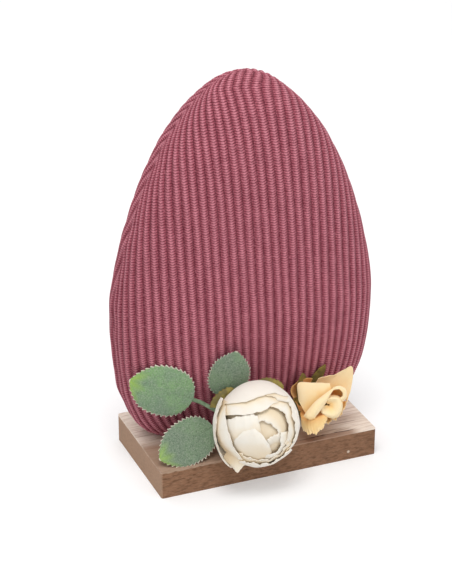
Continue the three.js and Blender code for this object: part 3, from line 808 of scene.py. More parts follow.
@dataclass
class KnittedEgg:
    """The flattened egg: two ribbed knit covers that meet at a side seam.

    Widths, depths and the section are pairs of powers, for the curve that fade describes or for a
    superellipse's side and face. The egg's outline would close bottom_drop below its cut foot.

    crest_gap is how deep a gap between stitches is on a rib's crest, as a share of its depth on the
    flank, and furrow_fill is the share of it that the furrow loses again. A course wave is its depth
    and what the way up and the way across are divided by. A pucker wave is its depth, what the height
    is divided by, and a turn.
    """

    rib_pitch: float = 4.75
    rib_depth: float = 1.15
    rib_lean: float = -0.06
    lean_limit: float = 0.3
    least_girth: float = 1.0
    stitch_pitch: float = 1.4
    stitch_depth: float = 0.65
    stitch_rise: float = 0.5
    ridge_power: float = 0.62
    gap_power: float = 1.6
    crest_gap: float = 0.4
    furrow_fill: float = 0.5
    uneven_gap: tuple[float, float] = (0.7, 1.3)
    start_spread: float = 0.3
    course_waves: tuple[Spot, ...] = ((0.125, 23.0, 9.0), (0.075, 7.3, -5.0))
    wander_depth: float = 0.16
    wander_length: float = 11.0
    wander_turn: float = 1.7
    wander_fade: float = 4.0
    swell_depth: float = 0.25
    swell_lengths: tuple[float, float] = (17.0, 21.0)
    most_ribs: int = 200
    most_courses: int = 400
    cloth: float = 3.0
    widest_height: float = 71.5
    bottom_drop: float = 8.0
    bottom_wall: float = 0.4
    upper_width: tuple[float, float] = (1.46, 1.9)
    lower_width: tuple[float, float] = (2.95, 4.3)
    upper_depth: tuple[float, float] = (4.0, 1.75)
    lower_depth: tuple[float, float] = (1.3, 3.0)
    section: tuple[float, float] = (2.6, 3.0)
    seam_depth: float = 0.7
    seam_width: float = 1.2
    pucker_depth: float = 1.0
    pucker_width: float = 8.0
    pucker_waves: tuple[Spot, ...] = ((0.28, 4.3, 0.0), (0.22, 2.7, 1.0))
    tuck_depth: float = 1.3
    tuck_height: float = 1.8
    samples_per_rib: int = 4
    least_step: float = 0.15
    rows: int = 820
    lining_size: tuple[int, int] = (40, 44)
    levels: int = 480
    level_evenness: float = 0.12
    turns: int = 200
    girth_shares: int = 260
    path_steps: int = 420
    path_evenness: float = 0.1
    seed: int = 5

    def measure(self) -> None:
        """Take the covers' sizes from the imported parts."""
        low, high = (np.array(c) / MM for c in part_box("knit_cover_front"))
        back_low, back_high = (np.array(c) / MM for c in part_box("knit_cover_back"))
        self.centre_x = (low[0] + high[0]) / 2
        self.half_width = (high[0] - low[0]) / 2
        self.foot, self.top = low[2], high[2]
        self.front = high[1] - low[1]
        self.back = back_high[1] - back_low[1]
        self.seam_front, self.seam_back = high[1], back_low[1]
        self.widest = self.foot + self.widest_height

    @staticmethod
    def fade(share: Grid, shape: tuple[float, float]) -> Grid:
        """Shrink from 1 at share 0 to 0 at share 1: one less the share to a power, to one over another."""
        return (1 - np.clip(share, 0, 1) ** shape[0]) ** (1 / shape[1])

    def level(self, z: Grid, inset: float) -> tuple[Grid, Grid]:
        """Find the egg's size at heights.

        Args:
            z: the heights.
            inset: how far the whole surface is moved in.

        Returns:
            The half widths, and the shares of the full depth.
        """
        upper = (z - self.widest) / (self.top - inset - self.widest)
        close = self.foot - self.bottom_drop + self.bottom_wall * inset
        lower = (self.widest - z) / (self.widest - close)
        above = z >= self.widest
        width = np.where(above, self.fade(upper, self.upper_width), self.fade(lower, self.lower_width))
        depth = np.where(above, self.fade(upper, self.upper_depth), self.fade(lower, self.lower_depth))
        return (self.half_width - inset) * width, depth

    def smooth_face(self, depth: float, inset: float) -> SmoothFace:
        """Work out one face without its relief.

        A section at one height is a superellipse: the sideways place is the half width times the sine
        of a turn to 2 over the side's power, and the depth is its share times the cosine to 2 over the
        face's power.

        Args:
            depth: from the seam to the face.
            inset: how far the whole surface is moved in.

        Returns:
            The face, with y measured out from the seam.
        """
        turns, shares = np.linspace(0, math.pi / 2, self.turns), np.linspace(0, 1, self.girth_shares)
        z = self.foot + (self.top - inset - self.foot) * crowded(self.levels, self.level_evenness)
        width, share = self.level(z, inset)
        x = width[:, None] * np.sin(turns) ** (2 / self.section[0])
        y = (depth - inset) * share[:, None] * np.clip(np.cos(turns), 0, 1) ** (2 / self.section[1])
        y[:, -1] = 0
        length = running_length(np.stack([x, y], axis=2))
        wanted = shares[None, :] * length[:, -1:]
        table = np.stack([by_rows(wanted, length, x), by_rows(wanted, length, y)], axis=2)
        return SmoothFace(z, length[:, -1], table)

    def ribs(self, face: SmoothFace, reach: np.ndarray, rows: int) -> dict[str, Grid]:
        """Lay a grid over a face, with its columns along the ribs.

        A rib keeps its distance along the cloth from the middle, until it runs off the upper outline.
        Below the widest height it keeps its share of the girth instead. The ribs lean: their places
        shift sideways with the height, by less towards the seam and not at all on it.

        Args:
            face: the smooth face.
            reach: each column's distance from the middle at the widest height.
            rows: points in a column.

        Returns:
            The points, their distances from the middle and from the seam along the cloth, and the
            running length up each rib from the widest height.
        """
        distance = np.abs(reach)
        over = face.z >= self.widest
        rib_top = np.interp(distance, face.girth[over][::-1], face.z[over][::-1])

        def share_at(height: Grid) -> Grid:
            """Find how far round the girth each rib lies at heights."""
            above = np.clip(distance[:, None] / np.maximum(face.girth_at(height), 1e-6), 0, 1)
            return np.where(height >= self.widest, above, (distance / face.girth_at(self.widest))[:, None])

        heights = self.foot + (rib_top[:, None] - self.foot) * crowded(self.path_steps, self.path_evenness)
        run = running_length(face.at(heights, share_at(heights)))
        even_run = run[:, -1:] * np.linspace(0, 1, rows)
        heights = by_rows(even_run, run, heights)
        heights[:, 0] = self.foot
        heights[:, -1] = rib_top
        girth = face.girth_at(heights)
        along = share_at(heights) * np.sign(reach)[:, None]
        lean = self.rib_lean * (heights - self.widest) / np.maximum(girth, self.least_girth)
        lean = np.clip(lean, -self.lean_limit, self.lean_limit)
        along = along + lean * (1 - along ** 2)
        points = face.at(heights, np.abs(along))
        points[..., 0] = points[..., 0] * np.sign(along)
        middle_run = by_rows(np.full((len(reach), 1), self.widest), heights, even_run)
        return {"points": points, "reach": np.broadcast_to(reach[:, None], heights.shape),
                "to_seam": (1 - np.abs(along)) * girth, "run": even_run - middle_run}

    def rib_columns(self, half_girth: float) -> np.ndarray:
        """Place the columns: each rib gets the same number, closer together in the furrows.

        Args:
            half_girth: from the middle of the face to the seam, along the cloth.

        Returns:
            The columns' distances from the middle.
        """
        per_side = self.samples_per_rib
        outermost = math.ceil(half_girth / self.rib_pitch)
        ribs = np.arange(-outermost, outermost + 1)
        within = np.sin(math.pi / 2 * np.arange(-per_side, per_side) / per_side) / 2
        columns = ((ribs[:, None] + within[None, :]) * self.rib_pitch).ravel()
        inside = columns[np.abs(columns) < half_girth - self.least_step]
        return np.concatenate([[-half_girth], inside, [half_girth]])

    def cover(self, name: str, side: int, depth: float, seam: float, material: bpy.types.Material) -> None:
        """Build one ribbed cover as a closed shell.

        Near the seam it sinks straight towards the egg's middle, so that the two covers' edges meet.

        Args:
            name: the part's node, which the cover replaces.
            side: -1 for the front, 1 for the back.
            depth: from the seam to the face.
            seam: the seam's y.
            material: the yarn.
        """
        rng = np.random.default_rng(self.seed + side)
        face, inside = self.smooth_face(depth, 0.0), self.smooth_face(depth, self.cloth)
        outer = self.ribs(face, self.rib_columns(float(face.girth_at(self.widest))), self.rows)
        columns, rows = self.lining_size
        inner = self.ribs(inside, inside.girth_at(self.widest) * np.linspace(-1, 1, columns), rows)
        points = outer["points"]
        relief = self.ribbed(outer, rng)
        normals = grid_normals(points)
        outwards = points - np.array([0.0, 0.0, self.widest])
        normals *= np.sign(np.einsum("ijk,ijk->ij", normals, outwards).sum())
        straight = outwards * np.array([1.0, 0.0, 1.0])
        straight /= np.linalg.norm(straight, axis=-1, keepdims=True)
        normals += (straight - normals) * np.exp(-(outer["to_seam"] / self.seam_width) ** 2)[..., None]
        points = points + normals * relief["height"][..., None]
        points[..., 2] = np.maximum(points[..., 2], self.foot)
        points[:, 0, 2] = self.foot
        points[..., 1] = np.maximum(points[..., 1], 0.0)
        for seam_edge in (points[0], points[-1], points[:, -1]):
            seam_edge[:, 1] = 0.0
        skin = self.placed(points, side, seam)
        lining = self.placed(inner["points"], side, seam)
        shell = self.closed_shell(skin, lining, np.stack([relief["rib"], relief["course"]], axis=-1))
        shell.outward().stand_in(name, "knit", material, Slot.KNIT, sharp=180.0)

    def placed(self, points: Grid, side: int, seam: float) -> Grid:
        """Move a face to its place on the part.

        Args:
            points: the face, with y measured out from the seam.
            side: -1 for the front, 1 for the back.
            seam: the seam's y.

        Returns:
            The moved points.
        """
        placed = points.copy()
        placed[..., 0] += self.centre_x
        placed[..., 1] = seam + side * points[..., 1]
        return placed

    def ribbed(self, grid: dict[str, Grid], rng: np.random.Generator) -> dict[str, Grid]:
        """Work out how far each point sinks below the ridges, and its rib and course numbers.

        A rib is a cosine hump to a low power, so its furrows are sharp. Each course of stitches is a V:
        its two legs rise from the middle of the rib to the furrows, and a stitch is rounded between
        narrow gaps that deepen towards the furrows. The cloth rolls in at the seam and at the board,
        and two slow waves pucker it along the seam.

        Args:
            grid: what ribs returns.
            rng: the source of each stitch's small differences.

        Returns:
            The heights, which are mostly negative, and the rib and course numbers.
        """
        run, reach, to_seam = (grid[name] for name in ("run", "reach", "to_seam"))
        ribs, courses = self.most_ribs, self.most_courses
        turned = self.wander_turn * np.round(reach / self.rib_pitch)
        wander = self.wander_depth * np.sin(run / self.wander_length + turned)
        rib = (reach + wander * np.minimum(to_seam / self.wander_fade, 1)) / self.rib_pitch
        number = np.round(rib).astype(int)
        flank = np.abs(rib - number) * 2
        start = rng.uniform(-self.start_spread, self.start_spread, ribs)[number + ribs // 2]
        drift = sum(depth * np.sin(run / up + reach / across) for depth, up, across in self.course_waves)
        course = run / self.stitch_pitch + start + drift
        phase = course - self.stitch_rise * flank
        stitch = np.floor(phase).astype(int)
        place = np.clip(stitch + courses // 2, 0, courses - 1)
        uneven = rng.uniform(*self.uneven_gap, (ribs, courses))[number + ribs // 2, place]
        gap = np.abs(2 * (phase - stitch) - 1) ** self.gap_power
        hump = np.clip(np.cos(np.minimum(flank, 1) * math.pi / 2), 0, 1) ** self.ridge_power
        height = -self.rib_depth * (1 - hump)
        deep = (self.crest_gap + (1 - self.crest_gap) * flank) * (1 - self.furrow_fill * flank ** 4)
        height -= self.stitch_depth * gap * uneven * deep
        height *= np.clip(to_seam / self.seam_width, 0, 1)
        across, up = self.swell_lengths
        height += self.swell_depth * np.sin(reach / across + 1.0) * np.sin(run / up)
        height -= self.seam_depth * np.exp(-(to_seam / self.seam_width) ** 2)
        z = grid["points"][..., 2]
        pucker = 0.5 + sum(depth * np.sin(z / length + turn) for depth, length, turn in self.pucker_waves)
        height -= self.pucker_depth * pucker * np.exp(-(to_seam / self.pucker_width) ** 2)
        height -= self.tuck_depth * np.exp(-((z - self.foot) / self.tuck_height) ** 2)
        return {"height": height, "rib": rib, "course": course}

    @staticmethod
    def closed_shell(skin: Grid, lining: Grid, pattern: Grid) -> Surface:
        """Close a fine skin and a coarse lining by a band round their rims.

        Both rims run from 0 to 4 round the four sides of their grids. Each edge of one rim meets the
        point of the other rim that lies beside it.

        Args:
            skin: the outer points.
            lining: the inner points.
            pattern: the skin's rib and course numbers.

        Returns:
            The closed shell, which may face in.
        """
        marks = []
        for grid in (skin, lining):
            columns, rows = grid.shape[:2]
            across, rise = np.linspace(0, 1, columns), np.linspace(0, 1, rows)
            marks.append(np.concatenate([across[:-1], 1 + rise[:-1], 2 + across[:-1], 3 + rise[:-1]]))
        shift = skin.shape[0] * skin.shape[1]
        outer = rim_numbers(*skin.shape[:2])
        inner = rim_numbers(*lining.shape[:2]) + shift
        outer_next, inner_next = (np.append(m[1:], 4.0) for m in marks)
        beside_outer = np.searchsorted(inner_next, outer_next, side="left") % len(inner)
        beside_inner = np.searchsorted(outer_next, inner_next, side="right") % len(outer)
        triangles = np.concatenate([
            np.stack([np.roll(outer, -1), outer, inner[beside_outer]], axis=1),
            np.stack([outer[beside_inner], inner, np.roll(inner, -1)], axis=1)])
        inside = grid_quads(*lining.shape[:2])[:, ::-1] + shift
        quads = np.concatenate([grid_quads(*skin.shape[:2]), inside])
        points = np.concatenate([skin.reshape(-1, 3), lining.reshape(-1, 3)])
        uv = np.concatenate([pattern.reshape(-1, 2), np.zeros((len(points) - shift, 2))])
        return Surface(points, quads, triangles, uv=uv)

    def build(self) -> None:
        """Make both covers."""
        self.measure()
        yarn = KnitYarn(stitch_rise=self.stitch_rise).material()
        self.cover("knit_cover_front", -1, self.front, self.seam_front, yarn)
        self.cover("knit_cover_back", 1, self.back, self.seam_back, yarn)


# The roses

@dataclass(frozen=True)
class WrappedPetal:
    """A petal that wraps round its bloom from the stem to a rim that the photograph's viewer sees.

    Each point of the rim is millimetres to the viewer's right and up, from the bloom's centre. What
    opens the petal outwards is given at even steps along the rim, in millimetres too. dent and pleat
    are waves as slanted takes them, and overtone is how many of the rim's finer waves lie on one. The
    edge's stain, the roll of the rim and the opening each start at a share of the way to the rim.
    """

    inset: float
    rim: tuple[tuple[float, float], ...]
    opening: tuple[float, ...] = (0.0, 0.0)
    curl: float = 0.15
    ruffle: float = 0.3
    waves: float = 4.0
    phase: float = 0.0
    edge: float = 0.1
    edge_start: float = 0.975
    roll_start: float = 0.84
    opening_start: float = 0.25
    dent: Spot = (0.5, 7.0, 4.0)
    pleat: Spot = (0.14, 23.0, 3.0)
    overtone: float = 2.3


@dataclass(frozen=True)
class LaidPetal:
    """A petal of the heart, laid over its bloom's shell from a root line to a rim line, both as seen.

    Points are as for a wrapped petal. sink is how far the root lies under the shell, and lift how far
    the rim stands out of it.
    """

    inset: float
    root: tuple[tuple[float, float], ...]
    rim: tuple[tuple[float, float], ...]
    sink: float = 1.7
    lift: float = 0.15
    curl: float = 0.35
    tuck: float = 1.0
    shade: tuple[float, ...] = (1.0, 0.5, 0.1, 0.0)
    ruffle: float = 0.25
    waves: float = 4.0
    phase: float = 0.0
    edge: float = 0.05
    edge_start: float = 0.97
    roll_start: float = 0.86
    dent: Spot = (0.25, 7.0, 3.0)
    pleat: Spot = (0.12, 26.0, 0.0)
    overtone: float = 2.7


@dataclass(frozen=True)
class DrapedPetal:
    """A petal that folds or curls too freely for a shell.

    Its net has a row of points for each step from its root to its rim. Each point is millimetres to
    the viewer's right, up, and towards the viewer of the photograph, from the bloom's centre. The
    frill moves its rim up and, by the share forward of that, to the viewer.
    """

    net: tuple[tuple[Spot, ...], ...]
    shade: tuple[float, ...] = (1.0, 0.5, 0.1, 0.0)
    frill: float = 0.35
    waves: float = 5.0
    phase: float = 0.0
    edge: float = 0.15
    edge_start: float = 0.97
    forward: float = 0.7
    overtone: float = 2.7


def between(values: object, share: np.ndarray) -> np.ndarray:
    """Run a smooth curve through evenly spaced values.

    Args:
        values: what the curve passes through, one number, point or row of points for each step.
        share: how far along it is read, from 0 to 1, in one row.

    Returns:
        What lies on the curve there, by the Catmull-Rom formula.
    """
    given = np.asarray(values, float)
    padded = np.concatenate([[2 * given[0] - given[1]], given, [2 * given[-1] - given[-2]]])
    place = np.clip(share, 0, 1) * (len(given) - 1)
    k = np.minimum(place.astype(int), len(given) - 2)
    t = (place - k).reshape(-1, *[1] * (given.ndim - 1))
    p0, p1, p2, p3 = (padded[k + step] for step in range(4))
    return p1 + t / 2 * (p2 - p0 + t * (2 * p0 - 5 * p1 + 4 * p2 - p3 + t * (3 * (p1 - p2) + p3 - p0)))


def slanted(wave: Spot, share: Grid, v: Grid, phase: float) -> Grid:
    """Lay a slanting wave over a petal.

    Args:
        wave: its depth, and how far it turns in radians across the petal and from root to rim.
        share: how far across each point lies.
        v: how far from root to rim it lies.
        phase: how far the wave is turned at the start.

    Returns:
        The wave's height at each point.
    """
    depth, across, along = wave
    return depth * np.sin(across * share + along * v + phase)


def late(v: Grid, start: float) -> Grid:
    """Stay at 0 up to a start, then run evenly to 1 at the end of the way."""
    return np.maximum(0, (v - start) / (1 - start))


def rim_waves(shape: WrappedPetal | LaidPetal, share: np.ndarray) -> np.ndarray:
    """Give a petal's rim its waves, with finer ones of half their height on them."""
    turn = 2 * math.pi * shape.waves * share
    fine = 0.5 * np.sin(shape.overtone * turn + 2 * shape.phase)
    return shape.ruffle * (np.sin(turn + shape.phase) + fine)


@dataclass
class Rose:
    """A bloom of nested petals round a rolled bud."""

    name: str
    bud_radius: float
    turn: float
    tilt: float
    petals: list[WrappedPetal | LaidPetal | DrapedPetal]
    cloth: PetalCloth
    slot: Slot
    radius: float = 23.3
    crown: float = 20.5
    heart: LaidPetal | None = None
    thickness: float = 0.45
    stem_radius: float = 2.3
    back_share: float = 0.75
    shade_width: float = 2.0
    row_power: float = 0.9
    pattern_width: float = 18.0

    def place(self) -> None:
        """Find the bloom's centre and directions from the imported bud, which is round about its axis."""
        turn, tilt = math.radians(self.turn), math.radians(self.tilt)
        look = np.array([math.sin(turn) * math.cos(tilt), -math.cos(turn) * math.cos(tilt), math.sin(tilt)])
        right = np.cross([0.0, 0.0, 1.0], look)
        right /= np.linalg.norm(right)
        self.basis = np.stack([right, np.cross(look, right), look])
        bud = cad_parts[f"{self.name}_bud"]
        points = np.array([bud.matrix_world @ v.co for v in bud.data.vertices]) / MM @ self.basis.T
        low, high = points.min(axis=0), points.max(axis=0)
        middle = (low + high) / 2
        middle[2] = low[2] + self.back_share * self.bud_radius
        self.centre = middle @ self.basis

    def to_part(self, points: Grid) -> Grid:
        """Move points from the bloom's frame to the part's."""
        return points @ self.basis + self.centre

    def shell(self, outset: Grid, polar: Grid, turn: Grid) -> Grid:
        """Find points of a bloom's shell, in its own frame: a ball that is flatter behind than in front.

        Args:
            outset: how far the shell lies outside the bloom's outermost one, at each point.
            polar: the angle from the pole of its back.
            turn: the turn round its axis.

        Returns:
            The points.
        """
        out = (self.radius + outset) * np.sin(polar)
        height = outset + np.where(polar > math.pi / 2, self.crown, self.radius * self.back_share)
        return np.stack([out * np.cos(turn), out * np.sin(turn), -height * np.cos(polar)], axis=-1)

    def under_view(self, seen: Grid, inset: float) -> Grid:
        """Find where the viewer's line through each seen place first meets a shell, in the bloom's frame.

        The shell is an ellipsoid: with everything measured in its half axes, the line meets a unit
        ball, at the nearer root of a quadratic. Places beside the bloom go to the line's nearest point.

        Args:
            seen: millimetres to the viewer's right and up, from the bloom's centre.
            inset: how far the shell lies inside the bloom's outermost one.

        Returns:
            The points.
        """
        right, up, near = Studio().axes() @ self.basis.T
        size = np.array([self.radius - inset, self.radius - inset, self.crown - inset])
        flat = (seen[..., :1] * right + seen[..., 1:] * up) / size
        line = near / size
        a, b = line @ line, flat @ line
        root = np.maximum(b ** 2 - a * ((flat ** 2).sum(axis=-1) - 1), 0)
        return (flat + ((np.sqrt(root) - b) / a)[..., None] * line) * size

    def rim_angles(self, seen: Grid, inset: float) -> tuple[np.ndarray, np.ndarray]:
        """Place a seen rim on a shell.

        Args:
            seen: the rim's points, as the photograph's viewer sees them.
            inset: how far the shell lies inside the outermost one.

        Returns:
            Its turns round the bloom's axis, and its angles from the pole of the bloom's back.
        """
        points = self.under_view(seen, inset)
        height = np.where(points[:, 2] > 0, self.crown - inset, self.radius * self.back_share - inset)
        polar = np.arccos(np.clip(-points[:, 2] / height, -1, 1))
        return np.unwrap(np.arctan2(points[:, 1], points[:, 0])), polar

    def wrapped(self, shape: WrappedPetal) -> Surface:
        """Shape one petal that wraps round the bloom.

        It runs from the stem to its rim over its shell. The rim waves, and rolls outwards over its last
        stretch. Where the petal opens, it leaves the shell ever faster after a quarter of its way.

        Args:
            shape: the petal's own form.

        Returns:
            The closed petal.
        """
        columns, rows = 84, 34
        share = np.linspace(0, 1, columns)
        v = np.linspace(0, 1, rows)[None, :] ** self.row_power
        seen = between(shape.rim, share)
        outward = seen / np.linalg.norm(seen, axis=1, keepdims=True)
        turn, rim = self.rim_angles(seen + outward * rim_waves(shape, share)[:, None], shape.inset)
        root = math.asin(min(0.9, self.stem_radius / (self.radius - shape.inset)))
        polar = root + (rim[:, None] - root) * v
        rolled = shape.curl * late(v, shape.roll_start) ** 2
        dents = slanted(shape.dent, share[:, None], v, shape.phase) * np.sin(math.pi * v)
        pleats = slanted(shape.pleat, share[:, None], v, 2 * shape.phase) * v ** 2
        lifted = between(shape.opening, share)[:, None] * late(v, shape.opening_start) ** 1.5
        outset = dents + pleats + lifted + rolled - shape.inset
        turns = np.broadcast_to(turn[:, None], polar.shape)
        middle = self.shell(outset, polar, turns)
        # Painted shade where this petal lies under and beside the petals outside it.
        hollow = self.hollow(shape.inset, turns, polar)
        edge = shape.edge * np.broadcast_to(v > shape.edge_start, polar.shape).astype(float)
        uv = np.stack([self.radius * turns * np.sin(polar), self.radius * polar], axis=-1) * MM
        return thick_sheet(self.to_part(middle), self.thickness, {"hollow": hollow, "edge": edge}, uv)

    def hollow(self, inset: float, turn: Grid, polar: Grid) -> Grid:
        """Give each point of a petal its share of painted shade, under and beside the rims of the petals
        outside it.

        It is 1 under another petal, and falls by the distance from that petal's rim.

        Args:
            inset: how far the petal lies inside the outermost shell.
            turn: its points' turns round the bloom's axis.
            polar: their angles from the pole of its back.

        Returns:
            A number from 0 to 1 for each point.
        """
        found = np.zeros(turn.shape)
        for outer in self.petals:
            if not isinstance(outer, WrappedPetal) or outer.inset >= inset:
                continue
            rim_turn, rim_polar = self.rim_angles(between(outer.rim, np.linspace(0, 1, 60)), outer.inset)
            order = np.argsort(rim_turn)
            rim_turn, rim_polar = rim_turn[order], rim_polar[order]
            along = (turn - rim_turn[0]) % (2 * math.pi)
            rim = np.interp(along, rim_turn - rim_turn[0], rim_polar)
            past = np.maximum(0, polar - rim) * self.radius
            shade = np.where(along <= np.ptp(rim_turn), np.exp(-past / self.shade_width), 0)
            found = np.maximum(found, shade)
        return found

    def laid(self, shape: LaidPetal) -> Surface:
        """Lay one petal of the heart over its shell.

        Its rim waves and rolls under, and its root and its two sides sink under the neighbours.

        Args:
            shape: the petal's own form.

        Returns:
            The closed petal.
        """
        columns, rows = 64, 36
        share, v = np.linspace(0, 1, columns), np.linspace(0, 1, rows)[None, :, None]
        root, rim = between(shape.root, share)[:, None], between(shape.rim, share)[:, None]
        way = (rim - root) / np.linalg.norm(rim - root, axis=2, keepdims=True)
        seen = root + (rim - root) * v + way * v ** 3 * rim_waves(shape, share)[:, None, None]
        points = self.under_view(seen, shape.inset)
        v = v[..., 0]
        depth = shape.lift * v ** 3 - shape.sink * (1 - v) ** 2
        depth = depth - shape.curl * late(v, shape.roll_start) ** 2
        depth = depth - shape.tuck * (np.abs(2 * share - 1) ** 6)[:, None]
        depth = depth + slanted(shape.dent, share[:, None], v, shape.phase) * np.sin(math.pi * v)
        depth = depth + slanted(shape.pleat, share[:, None], v, shape.phase) * v ** 2
        near = Studio().axes()[2] @ self.basis.T
        # Painted shade from root to rim, as the petal's shade gives it.
        hollow = between(shape.shade, v[0])[None, :] * np.ones((columns, 1))
        edge = shape.edge * (v > shape.edge_start) * np.ones((columns, 1))
        uv = np.stack(np.broadcast_arrays(share[:, None], v), axis=-1) * self.pattern_width * MM
        middle = self.to_part(points + depth[..., None] * near)
        return thick_sheet(middle, self.thickness, {"hollow": hollow, "edge": edge}, uv)

    def draped(self, shape: DrapedPetal) -> Surface:
        """Lay a petal smoothly through its net of points, and frill its rim.

        Args:
            shape: the petal's net, as the photograph's viewer sees it from the bloom's centre.

        Returns:
            The closed petal.
        """
        columns, rows = 44, 34
        u, v = np.linspace(0, 1, columns), np.linspace(0, 1, rows)
        net = between(np.swapaxes(np.array(shape.net, float), 0, 1), u)
        seen = np.swapaxes(between(np.swapaxes(net, 0, 1), v), 0, 1)
        frill = shape.frill * v[None, :] ** 3 * np.sin(shape.waves * math.pi * u + shape.phase)[:, None]
        crinkle = np.sin(shape.overtone * shape.waves * math.pi * u + 2 * shape.phase)[:, None]
        fine = 0.5 * shape.frill * v[None, :] ** 6 * crinkle
        seen[..., 1] += frill + fine
        seen[..., 2] += shape.forward * frill - fine
        middle = seen @ Studio().axes() + self.centre
        # Painted shade from root to rim, as the petal's shade gives it.
        hollow = between(shape.shade, v)[None, :] * np.ones((columns, 1))
        edge = shape.edge * (v > shape.edge_start)[None, :] * np.ones((columns, 1))
        uv = np.stack(np.broadcast_arrays(u[:, None], v[None, :]), axis=-1) * self.pattern_width * MM
        return thick_sheet(middle, self.thickness, {"hollow": hollow, "edge": edge}, uv)

    def bud(self) -> Surface:
        """Roll the bud: a spiral sheet whose rim leans out a little as it winds from the heart.

        Returns:
            The closed sheet.
        """
        columns, rows = 110, 16
        wind = np.linspace(0, 1, columns)[:, None]
        v = np.linspace(0, 1, rows)[None, :]
        turn = wind * 2.3 * 2 * math.pi + 1.0
        swell = np.sin(math.pi * np.minimum(v * 0.62 + 0.05, 0.5))
        out = self.bud_radius * (0.14 + 0.8 * wind) * (0.5 + 0.5 * swell)
        top = self.bud_radius * (1.01 + 0.12 * wind + 0.03 * np.sin(3 * turn))
        foot = -0.7 * self.bud_radius
        height = foot + (top - foot) * v
        middle = np.stack([out * np.cos(turn), out * np.sin(turn), height], axis=-1)
        # Painted shade, deepest low down in the bud.
        hollow = np.broadcast_to(1 - 0.6 * v, out.shape)
        uv = np.stack([out * turn, height], axis=-1) * MM
        return thick_sheet(self.to_part(middle), self.thickness, {"hollow": hollow, "edge": hollow * 0}, uv)

    def build(self) -> None:
        """Make the petals, each one inside the one before it, and the bud."""
        self.place()
        material = self.cloth.material()
        shapers = {WrappedPetal: self.wrapped, LaidPetal: self.laid, DrapedPetal: self.draped}
        digits = len(str(len(self.petals)))
        sheets = {f"{self.name}_petal_{number:0{digits}d}": shapers[type(petal)](petal)
                  for number, petal in enumerate(self.petals, 1)}
        sheets[f"{self.name}_bud"] = self.laid(self.heart) if self.heart else self.bud()
        for node, sheet in sheets.items():
            sheet.stand_in(node, "cloth", material, self.slot)


